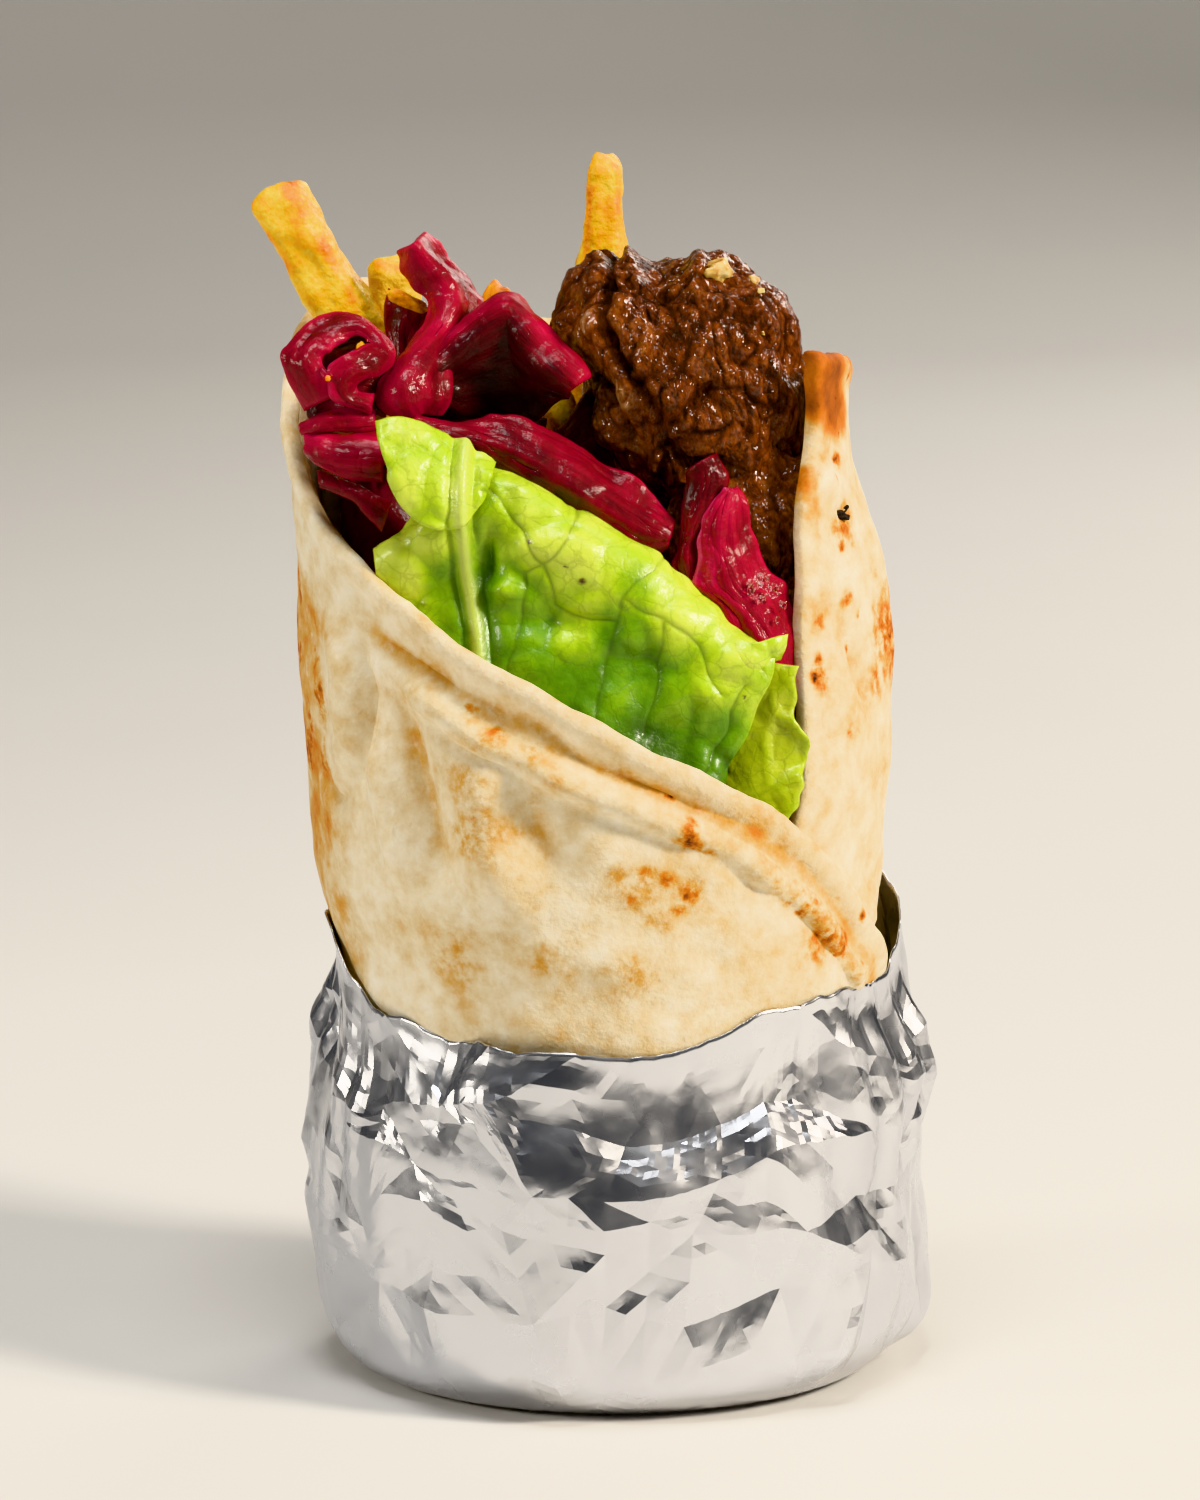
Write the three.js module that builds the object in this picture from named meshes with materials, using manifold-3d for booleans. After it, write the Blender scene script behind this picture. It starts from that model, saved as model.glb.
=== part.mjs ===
// A kebab sandwich: a round flatbread rolled into a cone of fillings and held by crumpled foil.
// Millimetres, +Z up. The origin is the middle of the flat foil base. The flap of the bread crosses
// the front, which faces -Y. Angles round the wrap start at the front and grow towards +X.
import * as THREE from "three";
import { ImprovedNoise } from "three/addons/math/ImprovedNoise.js";
import { mergeVertices } from "three/addons/utils/BufferGeometryUtils.js";
import Module from "manifold-3d";

const wasm = await Module();
wasm.setup();

const { clamp, degToRad, lerp, smoothstep } = THREE.MathUtils;
const noise = new ImprovedNoise();

// ---- Driving dimensions ----

const GAP = 0.35; // left between two pieces that touch
const BREAD_THICKNESS = 2.8;
const LAYER_STEP = BREAD_THICKNESS + 0.45; // how far the outer turn of bread lies over the inner one
const FOIL_THICKNESS = 1.0;
const DEPTH_SHARE = 0.857; // the wrap is this much shallower than it is wide
const BASE_CORNER = 9; // radius where the wall turns into the base

// The outside of the first turn of bread: [height, reach to the left, reach to the right].
const WRAP_REACH = [
  [0, 36.0, 37.0],
  [30, 37.2, 38.6],
  [60, 37.8, 39.2],
  [74, 41.2, 40.2],
  [98, 42.2, 41.7],
  [113, 42.6, 39.6],
  [131, 43.9, 35.7],
  [142, 44.9, 35.0],
  [158, 45.8, 34.6],
];

// The bread's top edge: [degrees round the roll, height]. It runs nearly level round the back,
// and past the left side, at 270, it slants down across the front as the flap.
const BREAD_EDGE = [
  [61, 149.5],
  [76, 148],
  [92, 145.5],
  [115, 143],
  [150, 144.5],
  [180, 146.4],
  [201, 146.4],
  [216, 151],
  [230, 154],
  [250, 149],
  [270, 140],
  [300, 125.5],
  [317, 118.5],
  [360, 101.5],
  [398, 85],
  [427, 66],
  [440, 59],
  [462, 50],
];

// The bread's inner end, which leans back round the right side: [height, degrees].
const BREAD_INNER_END = [
  [0, 10],
  [60, 31],
  [88, 43.5],
  [102, 45],
  [117, 48.5],
  [128, 54],
  [138, 63],
  [150, 61],
];
const ROLL_LEAN_UNTIL = 112; // degrees: columns of the bread past this stand straight
const LAYER_BEGINS = 300; // degrees: from here the bread climbs over its own inner end
const LAYER_FULL = 366;
const BREAD_BASE_HOLE = 0.35; // share of the base's radius left open where the bread is tucked in

// The outside of the foil, and its torn top edge: [degrees, height].
const FOIL_REACH = [
  [0, 39.5, 43.5],
  [12, 41.2, 46.0],
  [35, 41.5, 46.5],
  [58, 39.4, 44.3],
  [72, 40.6, 44.2],
];
const FOIL_DEPTH_SHARE = 0.88;
const FOIL_SHIFT = -1.6; // the foil sits forward, over the thicker front of the wrap
const FOIL_EDGE = [
  [-180, 62],
  [-140, 60],
  [-105, 66],
  [-80, 64],
  [-67, 58.4],
  [-48, 55],
  [0, 53.4],
  [15, 54],
  [30, 58],
  [80, 60.5],
  [108, 67.5],
  [125, 69.5],
  [150, 66],
  [180, 62],
];

// The dents pressed into the foil's wall. They are deepest at mid height and on the right.
const DENT_DEPTH = 4.5;
const DENT_HEIGHT = 9;
const DENTS_PER_RADIAN = 4.7;
const BULGE_SHARE = 0.2; // between two dents the foil bulges out by this share of their depth
const FOIL_GRIPS_FROM = 0.87; // share of the wall's height above which the foil grips the bread
const FOIL_TEAR = 1.8; // how far the torn edge strays up and down
const TEARS_PER_RADIAN = 5.3;

// The heap's top: its height at the axis, its rise per millimetre to the right and to the back,
// and how far it sinks at the front right.
const HEAP_HEIGHT = 127;
const HEAP_RISE_RIGHT = -0.17;
const HEAP_RISE_BACK = 0.1;
const HEAP_SINK = 22;
const HEAP_SINK_X = [4, 20];
const HEAP_SINK_Y = [0, 13];
const HEAP_BUMP = 3.5;
const HEAP_BUMP_WIDTH = 9;

// The lettuce lines the inside of the flap between two angles, from this far below its edge.
const LEAF_FROM = -53; // degrees
const LEAF_TO = 37;
const LEAF_DEPTH = 18;
const LEAF_THICKNESS = 2.2;
const LEAF_ROOM = 3.4; // the heap stands back from the flap by this much, to leave room for the leaf
const LEAF_ROOM_HEIGHTS = [48, 56];
const LEAF_LEAN = 8; // and by this much more at its top, because the leaf leans inwards
const LEAF_LEAN_HEIGHTS = [80, 125];
const LEAF_WAVES = 2; // along a wavy edge
const LEAF_RIM_SHARE = 0.55; // a leaf's thickness at its edges, as a share of the middle's

// A chip's corners are cut off by these shares of its width, and its sides wobble along its length.
const CHIP_CORNER = 0.24;
const CHIP_ROUNDING = 0.16;
const CHIP_WOBBLE = 0.07;
const CHIP_WOBBLE_LENGTH = 11;

// ---- Geometry helpers ----

const at = (x, y, z) => new THREE.Vector3(x, y, z);

// A smooth line through keys of [place, value, ...]: gives the values at any place.
function smoothLine(keys) {
  const places = keys.map((key) => key[0]);
  const values = keys.flatMap((key) => key.slice(1));
  const line = new THREE.CubicInterpolant(places, values, keys[0].length - 1);
  return (place) => Array.from(line.evaluate(clamp(place, places[0], places.at(-1))));
}

const wrapReach = smoothLine(WRAP_REACH);
const foilReach = smoothLine(FOIL_REACH);
const breadEdge = smoothLine(BREAD_EDGE);
const breadInnerEnd = smoothLine(BREAD_INNER_END);
const foilEdge = smoothLine(FOIL_EDGE);

// A point of the wrap's oval section at an angle and height, inset from the first turn's outside.
function onWrap(angle, height, inset) {
  const [left, right] = wrapReach(height);
  const half = (left + right) / 2;
  const x = (right - left) / 2 + (half - inset) * Math.sin(angle);
  return at(x, -(half * DEPTH_SHARE - inset) * Math.cos(angle), height);
}

// How far the bread stands out over its first turn at an angle of the roll, in degrees.
function layerOffset(degrees) {
  return LAYER_STEP * smoothstep(degrees, LAYER_BEGINS, LAYER_FULL);
}

// Merged and indexed triangles that carry positions alone.
function merged(geometry) {
  geometry.deleteAttribute("normal");
  geometry.deleteAttribute("uv");
  return mergeVertices(geometry, 1e-4);
}

// Moves every vertex by a function of its place.
function warped(geometry, move) {
  const positions = geometry.getAttribute("position");
  const point = new THREE.Vector3();
  for (let i = 0; i < positions.count; i += 1) {
    point.fromBufferAttribute(positions, i);
    const moved = move(point);
    positions.setXYZ(i, moved.x, moved.y, moved.z);
  }
  return merged(geometry);
}

// A sheet over the surface place(u, v), with half of thickness(u, v) on each side.
function sheet(columns, rows, thickness, place) {
  const step = 0.01;
  const flat = new THREE.BoxGeometry(1, 1, 1, columns, rows, 1);
  return warped(flat, ({ x, y, z }) => {
    const u = x + 0.5;
    const v = y + 0.5;
    const across = place(Math.min(u + step, 1), v).sub(place(Math.max(u - step, 0), v));
    const along = place(u, Math.min(v + step, 1)).sub(place(u, Math.max(v - step, 0)));
    const normal = across.cross(along).normalize();
    return place(u, v).addScaledVector(normal, z * thickness(u, v));
  });
}

// A leafy strip between two edge lines. It swells towards its face in the middle by bulge, and
// its first edge waves by wave.
function leaf(firstEdge, secondEdge, { columns, rows, thickness, bulge = 0, wave = 0 }) {
  const first = new THREE.CatmullRomCurve3(firstEdge, false, "centripetal");
  const second = new THREE.CatmullRomCurve3(secondEdge, false, "centripetal");
  const ruled = (u, v) => first.getPoint(u).lerp(second.getPoint(u), v);
  const middle = ruled(0.5, 0.5);
  const face = ruled(0.9, 0.5).sub(ruled(0.1, 0.5)).cross(ruled(0.5, 0.9).sub(middle)).normalize();
  const lens = (u, v) => thickness * lerp(LEAF_RIM_SHARE, 1, Math.sin(Math.PI * v));
  return sheet(columns, rows, lens, (u, v) => {
    const waving = wave * Math.sin(2 * Math.PI * LEAF_WAVES * u) * (1 - v);
    return ruled(u, v).addScaledVector(face, bulge * Math.sin(Math.PI * v) + waving);
  });
}

// A lump: a ball scaled to its half-sizes, roughened by noise of the given size and depth.
function lump(detail, centre, halfSizes, { roughness, grain, seed }) {
  return warped(new THREE.IcosahedronGeometry(1, detail), (direction) => {
    const spot = direction.clone().multiply(halfSizes).divideScalar(grain).addScalar(seed);
    const swell = 1 + roughness * noise.noise(spot.x, spot.y, spot.z);
    return direction.clone().multiply(halfSizes).multiplyScalar(swell).add(centre);
  });
}

function solidOf(geometry) {
  const mesh = new wasm.Mesh({
    numProp: 3,
    vertProperties: geometry.getAttribute("position").array,
    triVerts: new Uint32Array(geometry.index.array),
  });
  return new wasm.Manifold(mesh);
}

function geometryOf(solid) {
  const mesh = solid.getMesh();
  const geometry = new THREE.BufferGeometry();
  geometry.setAttribute("position", new THREE.BufferAttribute(mesh.vertProperties, mesh.numProp));
  geometry.setIndex(new THREE.BufferAttribute(mesh.triVerts, 1));
  return geometry;
}

// The same closed shape with its faces moved out by a distance.
function grown(geometry, distance) {
  const larger = geometry.clone();
  larger.computeVertexNormals();
  const positions = larger.getAttribute("position");
  const normals = larger.getAttribute("normal");
  for (let i = 0; i < positions.count; i += 1) {
    positions.setXYZ(
      i,
      positions.getX(i) + normals.getX(i) * distance,
      positions.getY(i) + normals.getY(i) * distance,
      positions.getZ(i) + normals.getZ(i) * distance,
    );
  }
  larger.deleteAttribute("normal");
  return larger;
}

// ---- The pieces ----

// One round bread rolled up: its inner end starts at the front, it goes round the right side, the
// back and the left, and its outer end crosses the front again one layer further out.
function flatbread() {
  const columns = 40;
  const rows = 9;
  const [rollStart] = breadInnerEnd(0);
  const rollEnd = BREAD_EDGE.at(-1)[0];
  const rollTop = BREAD_EDGE[0][1];
  const base = FOIL_THICKNESS + GAP + LAYER_STEP;
  const [left, right] = wrapReach(0);
  const flat = ((left + right) / 2 - BASE_CORNER) * (1 - BREAD_BASE_HOLE);
  const corner = (BASE_CORNER * Math.PI) / 2;
  return sheet(columns, rows, () => BREAD_THICKNESS, (u, v) => {
    const foot = lerp(rollStart, rollEnd, u);
    const lean = 1 - smoothstep(foot, rollStart, ROLL_LEAN_UNTIL);
    const leaning = (height) => foot + (breadInnerEnd(height)[0] - rollStart) * lean;
    const [rim] = breadEdge(leaning(rollTop));
    const wall = rim - base - BASE_CORNER;
    const travelled = v * (flat + corner + wall);
    const turn = clamp((travelled - flat) / BASE_CORNER, 0, Math.PI / 2);
    const climbed = Math.max(travelled - flat - corner, 0);
    const layer = layerOffset(foot) - BREAD_THICKNESS / 2;
    const height = base + BASE_CORNER * (1 - Math.cos(turn)) + climbed;
    const inset = BASE_CORNER * (1 - Math.sin(turn)) + Math.max(flat - travelled, 0);
    const point = onWrap(degToRad(leaning(height)), height, inset - layer * Math.sin(turn));
    point.z -= layer * Math.cos(turn);
    return point;
  });
}

// A cup of foil pressed round the foot of the wrap, flat underneath, with dents and a torn edge.
function foil() {
  const segments = 32;
  const rimNominal = 60;
  const radius = 40;
  const wallRows = 5;
  const outside = [new THREE.Vector2(0, 0), new THREE.Vector2(radius - BASE_CORNER, 0)];
  const inside = [
    new THREE.Vector2(0, FOIL_THICKNESS),
    new THREE.Vector2(radius - BASE_CORNER, FOIL_THICKNESS),
  ];
  for (const share of [0.5, 1]) {
    const turn = (share * Math.PI) / 2;
    const out = radius - BASE_CORNER + BASE_CORNER * Math.sin(turn);
    const up = BASE_CORNER * (1 - Math.cos(turn));
    outside.push(new THREE.Vector2(out, up));
    const inner = BASE_CORNER - FOIL_THICKNESS;
    const innerOut = radius - BASE_CORNER + inner * Math.sin(turn);
    inside.push(new THREE.Vector2(innerOut, FOIL_THICKNESS + inner * (1 - Math.cos(turn))));
  }
  for (let row = 1; row <= wallRows; row += 1) {
    const height = lerp(BASE_CORNER, rimNominal, row / wallRows);
    outside.push(new THREE.Vector2(radius, height));
    inside.push(new THREE.Vector2(radius - FOIL_THICKNESS, height));
  }
  const cup = new THREE.LatheGeometry([...outside, ...inside.reverse()], segments);
  cup.rotateX(Math.PI / 2);
  return warped(cup, (point) => {
    const angle = Math.atan2(point.x, -point.y);
    const across = Math.hypot(point.x, point.y);
    const climb = clamp((point.z - BASE_CORNER) / (rimNominal - BASE_CORNER), 0, 1);
    const [rim] = foilEdge(THREE.MathUtils.radToDeg(angle));
    const height = climb > 0 ? lerp(BASE_CORNER, rim, climb) : point.z;
    const [left, right] = foilReach(height);
    const half = (left + right) / 2;
    const slack = Math.sin(Math.PI * Math.min(climb / FOIL_GRIPS_FROM, 1));
    const looseness = slack * lerp(0.2, 1, (1 + Math.sin(angle)) / 2);
    const crumple = noise.noise(angle * DENTS_PER_RADIAN, height / DENT_HEIGHT, 3.1);
    const dent = DENT_DEPTH * looseness * Math.max(crumple, -BULGE_SHARE);
    const share = (across - dent * (across / radius)) / radius;
    const x = (right - left) / 2 + half * share * Math.sin(angle);
    const y = FOIL_SHIFT - half * FOIL_DEPTH_SHARE * share * Math.cos(angle);
    const tear = climb === 1 ? FOIL_TEAR * noise.noise(angle * TEARS_PER_RADIAN, 0.5, 7.7) : 0;
    return at(x, y, height + tear);
  });
}

// A chip cut as a bar with its corners rounded off, a little bent and narrower towards its tip.
function fry({ tip, direction, length, width, turn, taper = 0.85, bend = 1 }) {
  const cut = width * CHIP_CORNER;
  const half = width / 2;
  const outline = new THREE.Shape();
  outline.moveTo(half - cut, -half);
  outline.lineTo(half, cut - half);
  outline.lineTo(half, half - cut);
  outline.lineTo(half - cut, half);
  outline.lineTo(cut - half, half);
  outline.lineTo(-half, half - cut);
  outline.lineTo(-half, cut - half);
  outline.lineTo(cut - half, -half);
  outline.closePath();
  const rounding = width * CHIP_ROUNDING;
  const bar = new THREE.ExtrudeGeometry(outline, {
    depth: length - 2 * rounding,
    steps: 3,
    bevelSize: rounding,
    bevelThickness: rounding,
    bevelOffset: -rounding,
    bevelSegments: 1,
  });
  bar.translate(0, 0, rounding);
  bar.rotateZ(degToRad(turn));
  const facing = new THREE.Quaternion().setFromUnitVectors(at(0, 0, 1), direction.normalize());
  return warped(bar, (point) => {
    const share = point.z / length;
    const narrow = lerp(taper, 1, Math.min(share * 2, 1));
    const wobble = 1 + CHIP_WOBBLE * noise.noise(point.z / CHIP_WOBBLE_LENGTH, tip.x, tip.z);
    const moved = at(point.x * narrow * wobble, point.y * narrow * wobble, point.z);
    moved.x += bend * Math.sin(Math.PI * share);
    return moved.applyQuaternion(facing).add(tip);
  });
}

// The heap of shredded pickled cabbage that fills the wrap, out to the bread and up to its own
// uneven top, which falls away to the right.
function cabbageHeap() {
  const segments = 22;
  const nominalHeight = 110;
  const corner = BASE_CORNER - BREAD_THICKNESS;
  const base = FOIL_THICKNESS + GAP + LAYER_STEP + BREAD_THICKNESS + GAP;
  const clearance = BREAD_THICKNESS + 2 * GAP;
  const [rollStart] = breadInnerEnd(0);
  const profile = [new THREE.Vector2(0, 0), new THREE.Vector2(0.8, 0), new THREE.Vector2(1, 0.08)];
  for (const height of [0.4, 0.65, 0.85, 1]) {
    profile.push(new THREE.Vector2(1, height));
  }
  for (const share of [0.7, 0.35, 0]) {
    profile.push(new THREE.Vector2(share, 1));
  }
  const core = new THREE.LatheGeometry(profile, segments);
  core.rotateX(Math.PI / 2);
  return warped(core, (point) => {
    const angle = Math.atan2(point.x, -point.y);
    const share = Math.min(Math.hypot(point.x, point.y), 1);
    const nominal = onWrap(angle, nominalHeight, clearance);
    const spotX = nominal.x * share;
    const spotY = nominal.y * share;
    const top = heapTop(spotX, spotY);
    const height = lerp(base, top, point.z);
    const round = corner * (1 - smoothstep(height, base, base + corner * 1.5));
    const standing = LEAF_ROOM * smoothstep(height, ...LEAF_ROOM_HEIGHTS);
    const leaning = LEAF_LEAN * smoothstep(height, ...LEAF_LEAN_HEIGHTS);
    const leafRoom = (standing + leaning) * Math.sqrt(Math.max(Math.cos(angle), 0));
    const degrees = THREE.MathUtils.radToDeg(angle);
    const behindFlap = layerOffset(degrees + 360) * (1 - smoothstep(degrees, 0, rollStart));
    const inset = clearance + round + leafRoom - behindFlap;
    const edge = onWrap(angle, height, inset);
    const [left, right] = wrapReach(height);
    return at(lerp((right - left) / 2, edge.x, share), edge.y * share, height);
  });
}

// The heap's height: it leans up to the left and the back, and sinks at the front right corner.
function heapTop(x, y) {
  const slope = HEAP_HEIGHT + HEAP_RISE_RIGHT * x + HEAP_RISE_BACK * y;
  const sink = HEAP_SINK * smoothstep(x, ...HEAP_SINK_X) * (1 - smoothstep(y, ...HEAP_SINK_Y));
  return slope - sink + HEAP_BUMP * noise.noise(x / HEAP_BUMP_WIDTH, y / HEAP_BUMP_WIDTH, 1.7);
}

// Minced meat pressed into a thick finger and grilled: the upper end stands out of the wrap.
function kofteUpper() {
  const centre = at(13.4, -1.5, 142.8);
  const body = lump(5, centre, at(18, 16, 19), { roughness: 0.16, grain: 9, seed: 4.3 });
  const leanLeft = 0.16; // of the rise over the centre
  const leaning = warped(body, (point) => {
    return at(point.x - leanLeft * (point.z - centre.z), point.y, point.z);
  });
  const knob = lump(2, at(-0.8, -3, 153), at(6.6, 6.5, 7), { roughness: 0.2, grain: 5, seed: 8.1 });
  return geometryOf(solidOf(leaning).add(solidOf(knob)));
}

function kofteLower() {
  const centre = at(21, -6.5, 113);
  return lump(4, centre, at(12, 12, 24), { roughness: 0.15, grain: 9, seed: 2.6 });
}

// A lettuce leaf that lines the flap on the inside, its top edge rolled over, and the tip of the
// leaf folded forward at the left.
function lettuceLeaf() {
  const rolledEdge = [
    at(-31.5, -21.5, 123),
    at(-27, -23, 127),
    at(-22, -23, 132.5),
    at(-14.5, -22, 135),
    at(-7, -23.5, 131.5),
    at(1, -24.5, 127.5),
    at(9, -25, 121.8),
    at(15, -25.5, 117.2),
    at(20, -26, 112.6),
    at(25, -25.5, 111),
  ];
  const inset = BREAD_THICKNESS + GAP + LEAF_THICKNESS / 2;
  const foot = rolledEdge.map((_, i) => {
    const degrees = lerp(LEAF_FROM, LEAF_TO, i / (rolledEdge.length - 1));
    const [flapEdge] = breadEdge(degrees + 360);
    const room = inset - layerOffset(degrees + 360);
    return onWrap(degToRad(degrees), flapEdge - LEAF_DEPTH, room);
  });
  const body = leaf(foot, rolledEdge, {
    columns: 14,
    rows: 5,
    thickness: LEAF_THICKNESS,
    bulge: 2.2,
  });
  const fold = leaf(
    [at(-29.5, -27, 134), at(-24.5, -28.5, 127.5), at(-18, -28, 127.5), at(-15.5, -25, 132)],
    [at(-30.5, -23.5, 141), at(-25, -22, 139.8), at(-19.5, -21.5, 138), at(-14.5, -22, 135)],
    { columns: 7, rows: 4, thickness: 1.8, bulge: 1.5 },
  );
  return geometryOf(solidOf(body).add(solidOf(fold)));
}

// A second, yellower leaf whose frilled edge hangs out past the bread's inner end.
function lettuceUnder() {
  return leaf(
    [at(14, -25, 82), at(13, -24, 92), at(14, -23, 102), at(16, -22, 108)],
    [at(25, -30, 85.5), at(29.2, -28.2, 91), at(29.4, -27.6, 98.5), at(28.6, -25.5, 105)],
    { columns: 8, rows: 4, thickness: 1.8, bulge: -0.6, wave: 0.5 },
  );
}

// Pickled red cabbage. Each piece is a thick glossy strip of leaf between its two edges.
const CABBAGE = {
  cabbage_curl: {
    first: [
      at(-38.5, -17, 141),
      at(-43, -14.5, 145),
      at(-43.5, -12, 149),
      at(-39.5, -10, 152),
      at(-33.5, -9.5, 151.5),
      at(-30, -11.5, 148.8),
      at(-31.5, -14, 146.5),
      at(-36, -14.5, 146.8),
      at(-37.8, -16.5, 144.6),
      at(-34.5, -18.5, 142.5),
    ],
    second: [
      at(-38, -10, 139.5),
      at(-42, -7, 143.5),
      at(-42.5, -4.5, 147.5),
      at(-39, -2.5, 150.5),
      at(-33.5, -2, 149.8),
      at(-30, -4.5, 146.6),
      at(-31.5, -7.5, 144.4),
      at(-35.5, -8.5, 144.6),
      at(-37, -10, 142.6),
      at(-34.5, -12, 140.8),
    ],
    form: { columns: 22, rows: 2, thickness: 4.4 },
  },
  cabbage_tall: {
    first: [
      at(-28, 2, 161),
      at(-27.5, 0, 156.5),
      at(-24.5, -3, 152.5),
      at(-27, -7.5, 148.5),
      at(-30, -12, 144.5),
      at(-29, -13, 139),
    ],
    second: [
      at(-25, 5, 163),
      at(-20.5, 4, 158.5),
      at(-16.5, 2, 153.5),
      at(-19, -4, 149),
      at(-21, -11, 145),
      at(-20.5, -13, 138.5),
    ],
    form: { columns: 12, rows: 4, thickness: 3, bulge: 2.8 },
  },
  cabbage_square: {
    first: [
      at(-29, -13, 141),
      at(-21, -11, 137.5),
      at(-13.5, -9, 136.5),
      at(-7.5, -10.5, 138.5),
      at(-2.5, -13, 143.5),
    ],
    second: [
      at(-29.5, -12, 144),
      at(-21.5, -8.5, 149.8),
      at(-12.5, -5, 155.3),
      at(-6, -8.5, 150.5),
      at(-1.8, -13, 145.6),
    ],
    form: { columns: 10, rows: 4, thickness: 3.4, bulge: -3 },
  },
  cabbage_band: {
    first: [
      at(-29, -19, 138.6),
      at(-20.5, -21, 136.6),
      at(-13.5, -21.5, 134),
      at(-5.5, -22, 129.2),
      at(2, -22.5, 124.5),
      at(9, -22.5, 121),
    ],
    second: [
      at(-27, -15.5, 142),
      at(-18.5, -15.5, 140),
      at(-11, -15, 140.8),
      at(-2.5, -15.5, 137.5),
      at(5.5, -17.5, 131.5),
      at(10, -19.5, 126),
    ],
    form: { columns: 10, rows: 3, thickness: 3.6, bulge: 2.2 },
  },
  cabbage_strip: {
    first: [at(-41.6, -15.8, 137.2), at(-36.5, -17.5, 137.8), at(-30.5, -17.2, 138)],
    second: [at(-42, -12.5, 139.5), at(-38.5, -12, 141), at(-32, -12.5, 141.6)],
    form: { columns: 6, rows: 3, thickness: 2.6, bulge: 0.8 },
  },
  cabbage_slab: {
    first: [at(-38.6, -19, 133), at(-35.5, -21.5, 132), at(-29.5, -22, 131.5)],
    second: [at(-41.5, -14.5, 137.5), at(-36, -16, 137), at(-30, -16.5, 136.6)],
    form: { columns: 6, rows: 3, thickness: 4.2, bulge: 1.6 },
  },
  cabbage_point: {
    first: [at(12, -20, 134.5), at(11, -21, 128), at(10.5, -22, 122), at(12, -22.5, 115)],
    second: [at(15.8, -19.5, 136), at(17.6, -20.5, 133), at(16.5, -21.5, 127), at(15, -21.5, 117)],
    form: { columns: 8, rows: 3, thickness: 2.6, bulge: 1.2 },
  },
  cabbage_tongue: {
    first: [
      at(17.6, -22.5, 131),
      at(13.6, -24, 124.5),
      at(13.2, -24.4, 119.5),
      at(18, -24.6, 114.5),
      at(23.5, -24, 107),
    ],
    second: [
      at(19.5, -20.5, 129.5),
      at(21.5, -21.5, 124.5),
      at(24, -22, 118.5),
      at(28, -20, 115.5),
      at(29, -20, 107),
    ],
    form: { columns: 9, rows: 3, thickness: 2.8, bulge: 1.6 },
  },
  cabbage_slice: {
    first: [at(-30, 1, 141), at(-26, 0, 142), at(-23, 0, 143)],
    second: [at(-30.5, 7.5, 154.5), at(-26.5, 6.5, 154), at(-23.5, 5, 152.4)],
    form: { columns: 5, rows: 4, thickness: 2.4, bulge: -0.6 },
  },
};

const FRIES = {
  fry_left: {
    tip: at(-46.6, 4, 169.6),
    direction: at(0.545, 0.06, -0.84),
    length: 72,
    width: 9,
    taper: 0.9,
    turn: 20,
  },
  fry_back: {
    tip: at(-29.8, 14, 158.3),
    direction: at(0.3, 0.06, -0.95),
    length: 54,
    width: 9,
    taper: 0.95,
    turn: 10,
  },
  fry_centre: {
    tip: at(0.9, 17, 173),
    direction: at(-0.03, 0.02, -1),
    length: 66,
    width: 7.8,
    taper: 0.76,
    bend: -0.6,
    turn: 25,
  },
  fry_tip: {
    tip: at(-14.8, 11, 153.2),
    direction: at(0.1, 0.08, -1),
    length: 44,
    width: 6.5,
    taper: 0.6,
    turn: 30,
  },
  fry_deep: {
    tip: at(-5.6, -1, 141),
    direction: at(0.05, 0.25, -1),
    length: 34,
    width: 6.5,
    turn: 40,
  },
};

// ---- Putting the sandwich together ----

const LOOKS = {
  bread: { color: 0xe8d3a6, roughness: 0.85, metalness: 0 },
  foil: { color: 0xb9bcc0, roughness: 0.3, metalness: 1 },
  chip: { color: 0xf2bd3c, roughness: 0.6, metalness: 0 },
  meat: { color: 0x5c2e17, roughness: 0.4, metalness: 0 },
  lettuce: { color: 0x9bc22b, roughness: 0.45, metalness: 0 },
  cabbage: { color: 0x8f0f2c, roughness: 0.25, metalness: 0 },
};

// Pieces in the order in which they claim their space: a later one is cut back from the earlier
// ones that it would touch, and keeps only its largest body.
const pieces = [
  ["flatbread", LOOKS.bread, flatbread()],
  ["foil", LOOKS.foil, foil()],
  ["kofte_upper", LOOKS.meat, kofteUpper()],
  ["kofte_lower", LOOKS.meat, kofteLower()],
  ...Object.entries(FRIES).map(([name, size]) => [name, LOOKS.chip, fry(size)]),
  ["lettuce_leaf", LOOKS.lettuce, lettuceLeaf()],
  ["lettuce_under", LOOKS.lettuce, lettuceUnder()],
  ...Object.entries(CABBAGE).map(([name, { first, second, form }]) => [
    name,
    LOOKS.cabbage,
    leaf(first, second, form),
  ]),
  ["cabbage_heap", LOOKS.cabbage, cabbageHeap()],
];

function largestBody(solid) {
  const bodies = solid.decompose();
  return bodies.reduce((best, body) => (body.volume() > best.volume() ? body : best));
}

const sandwich = new THREE.Group();
const claimed = [];
for (const [name, look, geometry] of pieces) {
  let solid = solidOf(geometry);
  for (const neighbour of claimed) {
    solid = solid.subtract(neighbour);
  }
  claimed.push(solidOf(grown(geometry, GAP)));
  const own = geometryOf(largestBody(solid));
  const mesh = new THREE.Mesh(own, new THREE.MeshStandardMaterial(look));
  mesh.name = name;
  sandwich.add(mesh);
}

export default sandwich;
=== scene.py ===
# The looks of a kebab sandwich: a flatbread rolled round minced meat, chips, lettuce and pickled
# red cabbage, with its foot in crumpled foil. Sizes are in millimetres until a mesh is finished.
# The flap of the bread crosses the front, which faces -Y. Angles round the wrap start at the
# front and grow towards +X.
import bisect
import math
import random

import bmesh
import bpy
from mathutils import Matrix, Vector, noise
from mathutils.bvhtree import BVHTree


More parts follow.
